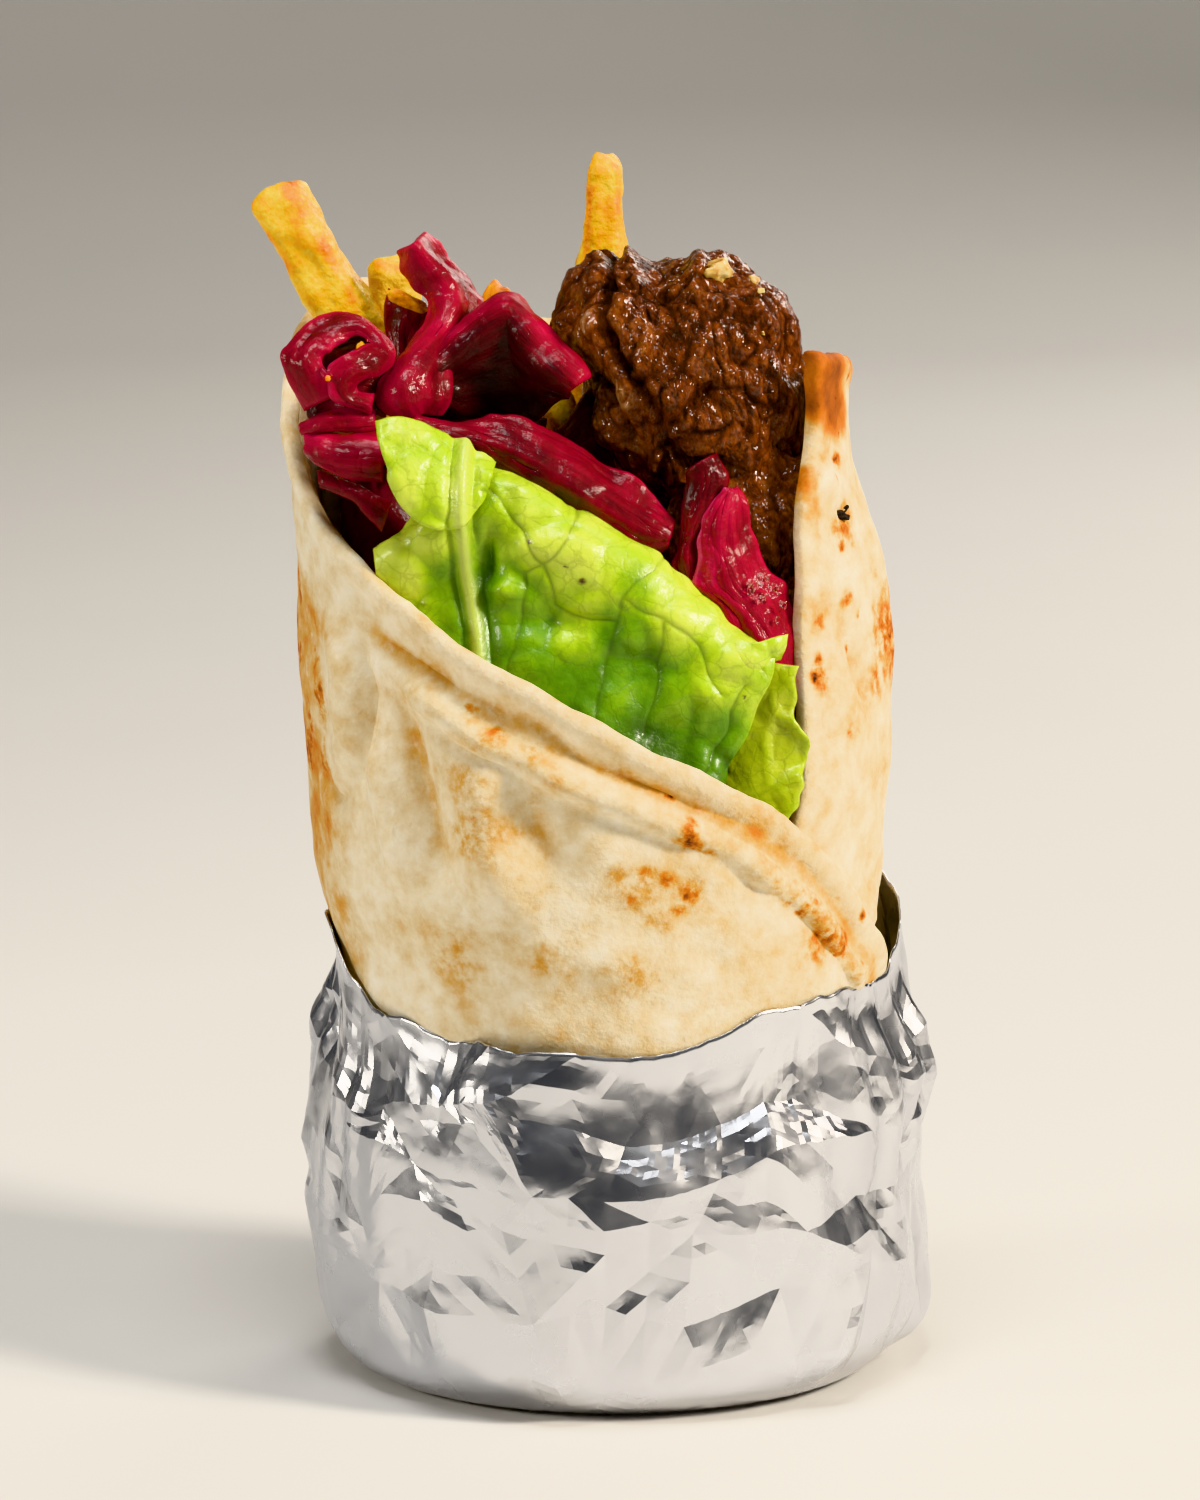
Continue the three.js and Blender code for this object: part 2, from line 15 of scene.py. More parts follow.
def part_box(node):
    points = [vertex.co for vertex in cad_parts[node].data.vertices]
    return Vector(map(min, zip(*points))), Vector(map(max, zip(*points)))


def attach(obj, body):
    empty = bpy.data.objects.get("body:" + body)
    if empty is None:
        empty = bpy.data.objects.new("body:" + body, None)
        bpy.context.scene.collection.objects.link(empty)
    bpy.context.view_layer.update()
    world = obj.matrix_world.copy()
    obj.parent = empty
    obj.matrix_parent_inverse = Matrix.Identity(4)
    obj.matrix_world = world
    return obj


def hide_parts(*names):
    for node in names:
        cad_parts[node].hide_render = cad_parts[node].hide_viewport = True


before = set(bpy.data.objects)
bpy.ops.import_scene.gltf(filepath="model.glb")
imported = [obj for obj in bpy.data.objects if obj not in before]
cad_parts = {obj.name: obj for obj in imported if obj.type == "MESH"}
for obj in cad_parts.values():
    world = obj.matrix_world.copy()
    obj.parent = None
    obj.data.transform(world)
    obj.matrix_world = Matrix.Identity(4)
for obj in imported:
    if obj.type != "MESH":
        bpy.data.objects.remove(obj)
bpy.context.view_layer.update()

# ---- Flatbread ----
# One round of soft wheat flatbread, baked on a hot plate, dusted with flour and rolled round the
# filling. Its inner end stands at the right, and its outer end crosses the front as the flap.

MM = 0.001

# The bread, the gap between its layers, and how far each layer stands out over the one inside.
BREAD_THICKNESS = 2.8
LAYER_GAP = 0.45
LAYER_STEP = BREAD_THICKNESS + LAYER_GAP

# Under the bread lies the foil, folded over itself, with a gap between the two.
FOIL_THICKNESS = 1.0
GAP = 0.35

# The wrap is an oval whose depth is this share of its width, with a rounded corner at its foot.
DEPTH_SHARE = 0.857
BASE_CORNER = 9

# The share of the foot's radius that the bread leaves open in its middle, and the share of its
# thickness that is left at its rounded edges.
BREAD_BASE_HOLE = 0.35
BREAD_EDGE_SHARE = 0.25

# The roll, in degrees, and where the lean of its inner end has faded out. The bread's top edge
# follows the lean at the height ROLL_TOP.
ROLL_START = 10
ROLL_END = 462
ROLL_LEAN_UNTIL = 112
ROLL_TOP = 149.5

# Where the second turn climbs over the first: degrees.
LAYER_BEGINS = 300
LAYER_FULL = 366


def smooth_line(keys):
    """A smooth line through keys of (place, value, ...), as a function of the place."""
    places = [key[0] for key in keys]
    spans = [after - before for before, after in zip(places, places[1:])]
    tracks = []
    for values in list(zip(*keys))[1:]:
        rises = [(b - a) / span for a, b, span in zip(values, values[1:], spans)]
        middle = [(a + b) / 2 for a, b in zip(rises, rises[1:])]
        tracks.append((values, [rises[0], *middle, rises[-1]]))

    def line(place):
        place = min(max(place, places[0]), places[-1])
        at = min(bisect.bisect_right(places, place), len(spans)) - 1
        span = spans[at]
        t = (place - places[at]) / span
        found = []
        for values, slopes in tracks:
            near = (1 + 2 * t) * (1 - t) ** 2 * values[at] + t * (1 - t) ** 2 * span * slopes[at]
            far = t * t * (3 - 2 * t) * values[at + 1] - t * t * (1 - t) * span * slopes[at + 1]
            found.append(near + far)
        return found if len(found) > 1 else found[0]

    return line


def smoothstep(value, low, high):
    t = min(max((value - low) / (high - low), 0), 1)
    return t * t * (3 - 2 * t)


def lerp(low, high, share):
    return low + (high - low) * share


def hump(distance, width):
    """A smooth rise of height 1 that falls away over width on both sides."""
    return math.exp(-((distance / width) ** 2))


def rough(point, size, seed=0.0):
    """Smooth noise from -1 to 1 with bumps of the given size."""
    return noise.noise(point / size + Vector((seed, seed * 1.7, seed * 0.6)))


def lumpy(point, waves):
    """Smooth noise in several sizes at once: waves of (height, size, seed)."""
    return sum(height * rough(point, size, seed) for height, size, seed in waves)


# The outside of the first turn of bread: height, reach to the left, reach to the right.
wrap_reach = smooth_line([
    (0, 36.0, 37.0),
    (30, 37.2, 38.6),
    (60, 37.8, 39.2),
    (74, 41.2, 40.2),
    (98, 42.2, 41.7),
    (113, 42.6, 39.6),
    (131, 43.9, 35.7),
    (142, 44.9, 35.0),
    (158, 45.8, 34.6),
])

# The bread's top edge: degrees round the roll, height.
bread_edge = smooth_line([
    (61, 149.5),
    (76, 148),
    (92, 145.5),
    (115, 143),
    (150, 144.5),
    (180, 146.4),
    (201, 146.4),
    (216, 151),
    (230, 154),
    (250, 149),
    (270, 140),
    (300, 125.5),
    (317, 118.5),
    (360, 101.5),
    (398, 85),
    (427, 66),
    (440, 59),
    (462, 50),
])

# The foil's torn top edge: degrees, height.
foil_edge = smooth_line([
    (-180, 62),
    (-140, 60),
    (-105, 66),
    (-80, 64),
    (-67, 58.4),
    (-48, 55),
    (0, 53.4),
    (15, 54),
    (30, 58),
    (80, 60.5),
    (108, 67.5),
    (125, 69.5),
    (150, 66),
    (180, 62),
])

# The bread's inner end, which leans back round the right side: height, degrees.
bread_inner_end = smooth_line([
    (0, 10),
    (60, 31),
    (88, 43.5),
    (102, 45),
    (117, 48.5),
    (128, 54),
    (138, 63),
    (150, 61),
])


def on_wrap(degrees, height, inset):
    """A point of the wrap's oval section, inset from the first turn's outside."""
    left, right = wrap_reach(height)
    half = (left + right) / 2
    angle = math.radians(degrees)
    x = (right - left) / 2 + (half - inset) * math.sin(angle)
    return Vector((x, -(half * DEPTH_SHARE - inset) * math.cos(angle), height))


def layer_offset(degrees):
    """How far the bread stands out over its first turn."""
    return LAYER_STEP * smoothstep(degrees, LAYER_BEGINS, LAYER_FULL)


def bread_place(u, v):
    """The middle of the bread's thickness, its degrees round the roll and its depth from the edge."""
    foot = lerp(ROLL_START, ROLL_END, u)
    lean = 1 - smoothstep(foot, ROLL_START, ROLL_LEAN_UNTIL)
    rim = bread_edge(foot + (bread_inner_end(ROLL_TOP) - ROLL_START) * lean)
    base = FOIL_THICKNESS + GAP + LAYER_STEP
    flat = (sum(wrap_reach(0)) / 2 - BASE_CORNER) * (1 - BREAD_BASE_HOLE)
    corner = BASE_CORNER * math.pi / 2
    travelled = v * (flat + corner + rim - base - BASE_CORNER)
    turn = min(max((travelled - flat) / BASE_CORNER, 0), math.pi / 2)
    climbed = max(travelled - flat - corner, 0)
    layer = layer_offset(foot) - BREAD_THICKNESS / 2
    height = base + BASE_CORNER * (1 - math.cos(turn)) + climbed
    inset = BASE_CORNER * (1 - math.sin(turn)) + max(flat - travelled, 0)
    degrees = foot + (bread_inner_end(height) - ROLL_START) * lean
    point = on_wrap(degrees, height, inset - layer * math.sin(turn))
    point.z -= layer * math.cos(turn)
    return point, degrees, rim - height


# How far below the flap's edge its long fold runs: degrees, depth.
fold_depth = smooth_line([
    (296, 17),
    (316, 13),
    (329, 11.6),
    (343, 10.7),
    (361, 10.4),
    (380, 8.6),
    (396, 8.6),
    (410, 9.5),
    (430, 11),
])

# Soft folds in the bread: routes of degrees and height, width and rise.
BREAD_FOLDS = [
    ([(298, 116), (304, 104.4), (303, 94.7), (293, 89.3)], 3.2, 2.6),
    ([(306, 113), (310, 102.2), (309, 93.8), (303, 86.5)], 2.0, -2.5),
    ([(284, 90.5), (297, 86.0), (309, 89.5)], 1.6, -1.9),
    ([(309, 102), (313, 92.4), (318, 82), (322, 72)], 2.3, 1.9),
    ([(316, 108), (321, 98.5), (327, 86), (332, 73)], 2.8, -2.7),
    ([(335, 101), (338, 93), (341, 80), (344, 70)], 3.4, 2.1),
    ([(344, 97), (349, 86), (354, 74)], 3.4, -1.6),
    ([(356, 93), (362, 82), (368, 72)], 3.6, 0.8),
    ([(352, 74), (372, 60)], 4.0, 1.2),
    ([(372, 72), (392, 62)], 2.6, -1.1),
    ([(412, 60), (430, 66)], 1.6, 1.6),
    ([(66, 62), (80, 74)], 3.6, 2.6),
    ([(57, 118), (70, 92)], 2.4, -1.4),
    ([(84, 128), (88, 96)], 3.0, 1.1),
    ([(130, 140), (138, 80)], 4.0, 1.9),
    ([(165, 142), (158, 70)], 3.5, -1.9),
    ([(196, 150), (204, 84)], 4.0, 1.7),
    ([(232, 148), (226, 76)], 3.6, -2.0),
    ([(252, 140), (256, 84)], 3.0, 1.5),
]
MM_PER_DEGREE = 0.68
FOLD_REACH = 16
FOLD_FADES = 12

# The swellings of the bread everywhere, from steam and an uneven filling: height, size, seed.
BREAD_SWELLINGS = [(1.1, 26, 1), (0.55, 9, 2), (0.16, 3.4, 3)]
BREAD_DEEPEST = -2.0

# Where the flap begins and ends: degrees, and how far below its edge its long fold is felt.
FLAP_BEGINS = (296, 322)
FLAP_NARROWS = (362, 394)
FLAP_ENDS = (412, 430)
FLAP_DEPTH = (26, 34)
RIDGE_BEGINS = (300, 338)
FOLD_WANDER = (7, 4)

# The ridge along the long fold, at the left and at the right: its rise and width, and the depth of
# the valley over it. Then how far off the valley and the dip under the ridge run, and their widths.
RIDGE_RISE = (2.0, 1.25)
RIDGE_WIDTH = (1.3, 1.0)
VALLEY_DEPTH = (1.7, 0.45)
VALLEY_OFF, VALLEY_WIDTH = 4.2, 2.4
DIP_OFF, DIP_WIDTH, DIP_DEPTH = 3.2, 1.8, 0.45

# The bread's swollen edge: how far below the edge it is fullest, its width and its rise.
LIP_BELOW, LIP_WIDTH, LIP_RISE = 1.6, 1.7, 0.8

# A torn lump and a small hole at the top of the right wall: degrees, height, radius, rise.
TORN_LUMP = (64, 130, 2.2, 1.3)
SMALL_HOLE = (68.5, 126, 1.3, -1.4)

# Where the foil grips the bread: how far it presses in, and how far below and above the foil's edge.
GRIPPED = -0.8
GRIP_BELOW = 3
GRIP_ABOVE = 4

# Toasted spots: degrees, height, radius and how dark, where 1 is charred.
BREAD_SPOTS = [
    (354, 104.4, 0.6, 0.6),
    (372.5, 90.3, 0.9, 0.72),
    (375.6, 85.8, 0.7, 0.6),
    (377.6, 84.6, 0.8, 0.6),
    (380.5, 83.4, 0.8, 0.42),
    (369, 80.2, 1.2, 0.28),
    (373, 79, 1.0, 0.32),
    (377, 76.8, 1.4, 0.5),
    (375.4, 74.6, 1.1, 0.38),
    (371, 73.4, 1.6, 0.18),
    (367, 76.5, 2.2, 0.16),
    (363, 79.5, 1.8, 0.16),
    (398, 74.6, 1.0, 0.36),
    (402, 72.6, 1.3, 0.44),
    (407, 68.8, 1.7, 0.44),
    (412, 66.4, 1.5, 0.42),
    (405, 67, 2.4, 0.28),
    (410, 74, 0.7, 0.4),
    (418, 70.2, 0.6, 0.5),
    (336, 102, 1.8, 0.3),
    (341, 98.6, 1.4, 0.34),
    (337, 92.4, 3.4, 0.17),
    (338, 85, 3.0, 0.2),
    (348, 96.5, 1.4, 0.24),
    (366, 66, 3.6, 0.15),
    (352, 68, 4.5, 0.12),
    (330, 66, 5.0, 0.12),
    (311, 98, 2.0, 0.16),
    (68.5, 125.8, 2.0, 0.46),
    (82, 145, 1.2, 0.55),
    (73.5, 141.8, 0.8, 0.72),
    (71, 139.4, 0.7, 0.66),
    (74, 136.8, 0.9, 0.7),
    (70, 133.4, 1.0, 0.6),
    (67, 130.2, 0.7, 0.62),
    (64.5, 121.5, 0.7, 0.5),
    (63.5, 114.5, 0.9, 0.44),
    (66.5, 112.0, 0.6, 0.46),
    (62.5, 107.5, 0.8, 0.5),
    (67, 124, 2.2, 0.36),
    (78, 106, 3.2, 0.3),
    (73, 102, 3.0, 0.25),
    (84, 108, 4.6, 0.42),
    (88, 103, 4.6, 0.45),
    (49, 104.6, 1.3, 0.7),
    (50, 107, 1.0, 0.5),
    (52, 112, 1.4, 0.3),
    (58, 96, 1.4, 0.24),
]


def from_line(x, y, start, end):
    """Distance of a place from a straight line between two places."""
    (x0, y0), (x1, y1) = start, end
    along = ((x - x0) * (x1 - x0) + (y - y0) * (y1 - y0)) / ((x1 - x0) ** 2 + (y1 - y0) ** 2)
    share = min(max(along, 0), 1)
    return math.hypot(x - lerp(x0, x1, share), y - lerp(y0, y1, share))


def from_route(x, y, route):
    """Distance of a place from a route of straight stretches."""
    return min(from_line(x, y, start, end) for start, end in zip(route, route[1:]))


bread_folds = []
for route, width, rise in BREAD_FOLDS:
    bread_folds.append(([(degrees * MM_PER_DEGREE, height) for degrees, height in route], width, rise))


def folded(degrees, height):
    """How far the soft folds push the bread out at a place, or in where it is below 0."""
    lift = 0
    x = degrees * MM_PER_DEGREE
    for route, width, rise in bread_folds:
        left, right = sorted((route[0][0], route[-1][0]))
        if left - FOLD_REACH < x < right + FOLD_REACH:
            from_ends = min(math.hypot(x - end[0], height - end[1]) for end in (route[0], route[-1]))
            lift += rise * hump(from_route(x, height, route), width) * smoothstep(from_ends, 0, FOLD_FADES)
    return lift


def from_spot(degrees, height, spot_degrees, spot_height):
    """Distance on the wrap's skin from a spot, in millimetres."""
    return math.hypot((degrees - spot_degrees) * MM_PER_DEGREE, height - spot_height)


def from_long_fold(point, degrees, below):
    """How far below the flap's long fold a place lies. The fold wanders a little."""
    return below - fold_depth(degrees) + 1.1 * rough(point, *FOLD_WANDER)


def bread_lift(point, degrees, height, below):
    """How far the bread swells out of its smooth roll, from folds, steam and an uneven filling."""
    lift = lumpy(point, BREAD_SWELLINGS)

    # The long fold: a ridge with a valley over it and a dip under it.
    on_flap = smoothstep(degrees, *FLAP_BEGINS) * (1 - smoothstep(below, *FLAP_DEPTH))
    wander = from_long_fold(point, degrees, below)
    rightwards = smoothstep(degrees, *FLAP_NARROWS)
    ridge = lerp(*RIDGE_RISE, rightwards) * hump(wander, lerp(*RIDGE_WIDTH, rightwards))
    valley = lerp(*VALLEY_DEPTH, rightwards) * hump(wander + VALLEY_OFF, VALLEY_WIDTH)
    ridge -= valley + DIP_DEPTH * hump(wander - DIP_OFF, DIP_WIDTH)
    ridge *= (0.9 + 0.9 * rough(point, 6.5, 16)) * smoothstep(degrees, *RIDGE_BEGINS)
    lift += on_flap * ridge * (1 - smoothstep(degrees, *FLAP_ENDS))

    lift += LIP_RISE * hump(below - LIP_BELOW, LIP_WIDTH)
    lift += folded(degrees, height)
    for x, y, radius, rise in (TORN_LUMP, SMALL_HOLE):
        lift += rise * hump(from_spot(degrees, height, x, y), radius)

    # Inside the foil the bread is pressed in, and its folds show only above the foil's edge.
    rim = foil_edge((degrees + 180) % 360 - 180)
    free = smoothstep(height, rim - GRIP_BELOW, rim + GRIP_ABOVE)
    return lerp(GRIPPED, max(lift, BREAD_DEEPEST), free)


# Where the left, the right and the back are toasted, in degrees: where it starts, is full, fades
# and ends. A spot is only worked out within its reach in degrees and height.
LEFT_TOASTED = (246, 266, 289, 299)
RIGHT_TOASTED = (50, 60, 92, 110)
BACK_TOASTED = (100, 124, 236, 256)
SPOT_REACH = (14, 12)

# How dark the soft shades are, on the scale of the spots. The fold's is painted shade in its valley; the
# others are browning.
FOLD_SHADE = 0.17
LEFT_SHADE = 0.34
EDGE_SHADE = 0.4
TOP_SHADE = 0.47


def bread_toast(point, degrees, height, below):
    """How far the hot plate browned the bread at a place, in spots and in soft shades, with painted shade
    in the valley of the long fold and in the hollows of the folds.

    Of the spots, 0 is pale dough and 1 is charred."""
    patchy = 0.5 + 0.5 * rough(point, 5.5, 8)
    fine = rough(point, 1.6, 9)
    shape = 1 + 0.45 * fine + 0.6 * rough(point, 3.2, 10)

    # The long fold's crest touched the plate, more so at the right. Its valley is painted darker, a painted
    # shade.
    on_flap = smoothstep(degrees, *FLAP_BEGINS)
    wander = from_long_fold(point, degrees, below)
    toast = on_flap * hump(wander, 1.4) * (0.06 * patchy + 0.16 * smoothstep(degrees, 385, 400))
    shaded = on_flap * FOLD_SHADE * hump(wander + 4.0, VALLEY_WIDTH) - 0.05 * on_flap * hump(wander, 1.2)

    # The left side is toasted in upright scales, over a softer shade.
    streaked = Vector((point.x, point.y, 0.55 * point.z))
    scaly = smoothstep(lumpy(streaked, [(1, 4, 8), (0.3, 1.5, 14)]), -0.12, 0.35)
    starts, full, fades, ends = LEFT_TOASTED
    uneven = 7 * rough(point, 6, 15)
    left = smoothstep(degrees, starts, full) * (1 - smoothstep(degrees + uneven, fades, ends))
    toast += left * smoothstep(height, 76, 86) * smoothstep(below, 12, 22) * LEFT_SHADE * scaly
    shaded += left * smoothstep(height, 56, 66) * smoothstep(below, 10, 20) * (0.1 + 0.16 * patchy)

    # The right side is browned along its edges, in licks, and all over its top.
    starts, full, fades, ends = RIGHT_TOASTED
    right = smoothstep(degrees, starts, full) * (1 - smoothstep(degrees, fades, ends))
    from_end = (degrees - bread_inner_end(height)) * MM_PER_DEGREE
    licked = smoothstep(lumpy(streaked, [(1, 3.2, 18), (0.5, 1.1, 19)]), -0.45, 0.2)
    orange = max(hump(below, 3.0), hump(from_end, 3.6)) * smoothstep(height, 84, 112)
    top = smoothstep(height + 5 * rough(streaked, 3.0, 17), 131, 142) * (1 - smoothstep(from_end, 7, 15))
    browned = max(EDGE_SHADE * orange * lerp(0.35, 1, licked), TOP_SHADE * top)
    shaded += right * browned * (0.75 + 0.5 * patchy)

    # The back is toasted on its blisters.
    starts, full, fades, ends = BACK_TOASTED
    back = smoothstep(degrees, starts, full) * (1 - smoothstep(degrees, fades, ends))
    blister = smoothstep(rough(point, 7.5, 12), 0.12, 0.5)
    toast += back * blister * (0.25 + 0.45 * smoothstep(rough(point, 2.6, 13), 0.05, 0.45))

    # The edge is a little deeper in colour, the hollows of the folds are painted darker as a painted shade,
    # and the spots are uneven.
    shaded += 0.07 * hump(below, 1.3) * patchy - 0.05 * min(folded(degrees, height), 0)
    for x, y, radius, dark in BREAD_SPOTS:
        if abs(degrees - x) < SPOT_REACH[0] and abs(height - y) < SPOT_REACH[1]:
            distance = from_spot(degrees, height, x, y) * max(shape, 0.6)
            toast = max(toast, dark * hump(distance, radius))

    # The torn lump shows the pale crumb of the bread.
    lump_degrees, lump_height, lump_radius, _ = TORN_LUMP
    lump = hump(from_spot(degrees, height, lump_degrees, lump_height), lump_radius)
    return toast + 0.04 * fine, shaded - 0.2 * lump


def new_sheet(columns, rows, *attributes):
    """A flat sheet of quads with its UV map, and each vertex with its share across and along."""
    bm = bmesh.new()
    bm.loops.layers.uv.new("UVMap")
    bm.verts.layers.deform.verify()
    for name in attributes:
        bm.verts.layers.float.new(name)
    bmesh.ops.create_grid(bm, x_segments=columns, y_segments=rows, size=0.5, calc_uvs=True)
    return bm, [(vert, vert.co.x + 0.5, vert.co.y + 0.5) for vert in bm.verts]


def new_piece(name, bm, material, nodes=()):
    """Finishes a mesh made in millimetres as a smooth piece that rides on the sandwich."""
    bmesh.ops.scale(bm, vec=(MM, MM, MM), verts=bm.verts)
    for face in bm.faces:
        face.smooth = True
    mesh = bpy.data.meshes.new(name)
    bm.to_mesh(mesh)
    bm.free()
    mesh.materials.append(material)
    made = bpy.data.objects.new(name, mesh)
    bpy.context.scene.collection.objects.link(made)
    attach(made, "root")
    if nodes:
        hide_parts(*nodes)
    return made


def thicken(made, thickness, thin_edge):
    """Gives a sheet its thickness. Where its thickness group is 0 only the share thin_edge is left."""
    made.vertex_groups.new(name="thickness")
    solid = made.modifiers.new("thickness", "SOLIDIFY")
    solid.thickness = thickness * MM
    solid.offset = 0
    solid.vertex_group = "thickness"
    solid.thickness_vertex_group = thin_edge


def rounded_edge(from_edge, reach):
    """The share of a sheet's thickness at a distance from its edge, which is half round."""
    share = min(from_edge, reach) / reach
    return math.sqrt(max(1 - (1 - share) ** 2, 0))


def colour(code):
    """The linear colour of an sRGB hex code."""
    parts = [int(code[place:place + 2], 16) / 255 for place in (1, 3, 5)]
    linear = [c / 12.92 if c <= 0.04045 else ((c + 0.055) / 1.055) ** 2.4 for c in parts]
    return (*linear, 1)


def new_material(name):
    material = bpy.data.materials.new(name)
    material.use_nodes = True
    material.node_tree.nodes.clear()
    return material, material.node_tree


def add(tree, kind, inputs=None, stops=None, **settings):
    """Adds a node with its settings, and links or sets its sockets. Stops are a ramp's colours."""
    made = tree.nodes.new(kind)
    for name, value in settings.items():
        setattr(made, name, value)
    for socket, value in (inputs or {}).items():
        if isinstance(value, bpy.types.NodeSocket):
            tree.links.new(value, made.inputs[socket])
        else:
            made.inputs[socket].default_value = value
    if stops:
        ramp = made.color_ramp.elements
        ramp.remove(ramp[1])
        ramp[0].position = stops[0][0]
        ramp[0].color = colour(stops[0][1])
        for place, code in stops[1:]:
            ramp.new(place).color = colour(code)
    return made


def per(millimetres):
    """A texture scale that gives a pattern this size on Object coordinates."""
    return 1 / (millimetres * MM)


# Baked wheat dough: matt, floury and slightly translucent. The hot plate turns it from cream
# through amber to a few charred spots, and steam leaves fine blisters.
bread_baked, tree = new_material("baked_flatbread")
place = add(tree, "ShaderNodeTexCoord").outputs["Object"]
toasted = add(tree, "ShaderNodeAttribute", attribute_name="toast").outputs["Fac"]
# The shaded attribute holds soft tones, with painted shade in the valley of the long fold and in the
# hollows of the folds.
shaded = add(tree, "ShaderNodeAttribute", attribute_name="shaded").outputs["Fac"]
flecks = add(
    tree,
    "ShaderNodeTexNoise",
    {"Vector": place, "Scale": per(1.5), "Detail": 5.0, "Roughness": 0.6},
)
broken = add(
    tree,
    "ShaderNodeMapRange",
    {"Value": flecks.outputs[0], "From Min": 0.36, "From Max": 0.64, "To Min": 0.35, "To Max": 1.5},
)
spotty = add(tree, "ShaderNodeMath", {0: toasted, 1: broken.outputs[0]}, operation="MULTIPLY")
edged = add(tree, "ShaderNodeMath", {0: spotty.outputs[0], 1: shaded}, operation="MAXIMUM")
cloudy = add(tree, "ShaderNodeTexNoise", {"Vector": place, "Scale": per(13), "Detail": 4.0})
clouds = add(
    tree,
    "ShaderNodeMapRange",
    {"Value": cloudy.outputs[0], "From Min": 0.35, "From Max": 0.65, "To Max": 0.13},
)
clouded = add(
    tree,
    "ShaderNodeTexNoise",
    {"Vector": place, "Scale": per(3.6), "Detail": 6.0, "Roughness": 0.62},
)
mottles = add(
    tree,
    "ShaderNodeMapRange",
    {"Value": clouded.outputs[0], "From Min": 0.34, "From Max": 0.66, "To Max": 0.17},
)
floury = add(
    tree,
    "ShaderNodeTexNoise",
    {"Vector": place, "Scale": per(2.2), "Detail": 6.0, "Roughness": 0.65},
)
blistered = add(tree, "ShaderNodeTexNoise", {"Vector": place, "Scale": per(0.7), "Detail": 4.0})
soft = add(tree, "ShaderNodeMath", {0: clouds.outputs[0], 1: mottles.outputs[0]}, operation="ADD")
shade = add(tree, "ShaderNodeMath", {0: soft.outputs[0], 1: edged.outputs[0]}, operation="ADD")
baked = add(
    tree,
    "ShaderNodeValToRGB",
    {0: shade.outputs[0]},
    stops=[
        (0.0, "#f8f0dc"),
        (0.1, "#f1e4c6"),
        (0.22, "#e4cd9f"),
        (0.34, "#d9a858"),
        (0.46, "#d27a20"),
        (0.6, "#a95a1a"),
        (0.76, "#6f3610"),
        (0.9, "#2c150a"),
        (1.0, "#0d0705"),
    ],
)
flour = add(
    tree,
    "ShaderNodeMapRange",
    {"Value": floury.outputs[0], "From Min": 0.52, "From Max": 0.72, "To Max": 0.5},
)
dusted = add(
    tree,
    "ShaderNodeMix",
    {0: flour.outputs[0], 6: baked.outputs[0], 7: colour("#f6ead0")},
    data_type="RGBA",
)
keeps = add(tree, "ShaderNodeMapRange", {"Value": shade.outputs[0], "From Min": 0.28, "From Max": 0.45})
surface = add(
    tree,
    "ShaderNodeMix",
    {0: keeps.outputs[0], 6: dusted.outputs[2], 7: baked.outputs[0]},
    data_type="RGBA",
)
grain = add(
    tree,
    "ShaderNodeMath",
    {0: blistered.outputs[0], 1: 0.4, 2: floury.outputs[0]},
    operation="MULTIPLY_ADD",
)
bump = add(tree, "ShaderNodeBump", {"Height": grain.outputs[0], "Strength": 0.7, "Distance": 0.5 * MM})
dough = add(
    tree,
    "ShaderNodeBsdfPrincipled",
    {
        "Base Color": surface.outputs[2],
        "Roughness": 0.72,
        "Specular IOR Level": 0.35,
        "Subsurface Weight": 0.12,
        "Subsurface Radius": (1.0, 0.6, 0.3),
        "Subsurface Scale": 1.6 * MM,
        "Normal": bump.outputs[0],
    },
)
add(tree, "ShaderNodeOutputMaterial", {"Surface": dough.outputs[0]})

BREAD_COLUMNS = 290
BREAD_ROWS = 148
EDGE_ROUNDING = 1.5

# How ragged the bread's top edge is: the rise, its waves of share, size in degrees and seed, and how
# far down it is felt.
RAGGED_RISE = 0.8
RAGGED_WAVES = [(1, 9, 5), (0.4, 2.6, 6)]
RAGGED_DEPTH = 9

# The rows and columns lie closer together towards the bread's edges.
column_place = smooth_line([(0, 0), (0.03, 0.006), (0.97, 0.994), (1, 1)])
row_place = smooth_line([(0, 0), (0.1, 0.32), (0.94, 0.982), (1, 1)])

bm, corners = new_sheet(BREAD_COLUMNS, BREAD_ROWS, "toast", "shaded")
toast_layer = bm.verts.layers.float["toast"]
shaded_layer = bm.verts.layers.float["shaded"]
thickness_layer = bm.verts.layers.deform.verify()
rolled = []
for vert, u, v in corners:
    vert.co, degrees, below = bread_place(column_place(u), row_place(v))
    ragged = RAGGED_RISE * lumpy(Vector((degrees, 0, 0)), RAGGED_WAVES)
    vert.co.z += ragged * (1 - smoothstep(below, 0, RAGGED_DEPTH))
    rolled.append((vert, u, degrees, below))
bm.normal_update()
arc = math.radians(ROLL_END - ROLL_START) * sum(wrap_reach(100)) / 2
for vert, u, degrees, below in rolled:
    point = vert.co.copy()
    from_end = min(column_place(u), 1 - column_place(u)) * arc
    vert[thickness_layer][0] = rounded_edge(min(below, from_end), EDGE_ROUNDING)
    vert[toast_layer], vert[shaded_layer] = bread_toast(point, degrees, point.z, below)
    vert.co = point + vert.normal * bread_lift(point, degrees, point.z, below)
flatbread = new_piece("flatbread_rolled", bm, bread_baked, ["flatbread"])
thicken(flatbread, BREAD_THICKNESS, BREAD_EDGE_SHARE)


# ---- Foil ----
# One sheet of kitchen foil, torn off a roll and squeezed round the foot of the wrap by hand. It is
# folded flat underneath, and hand and bread have broken it into flat facets with sharp creases.

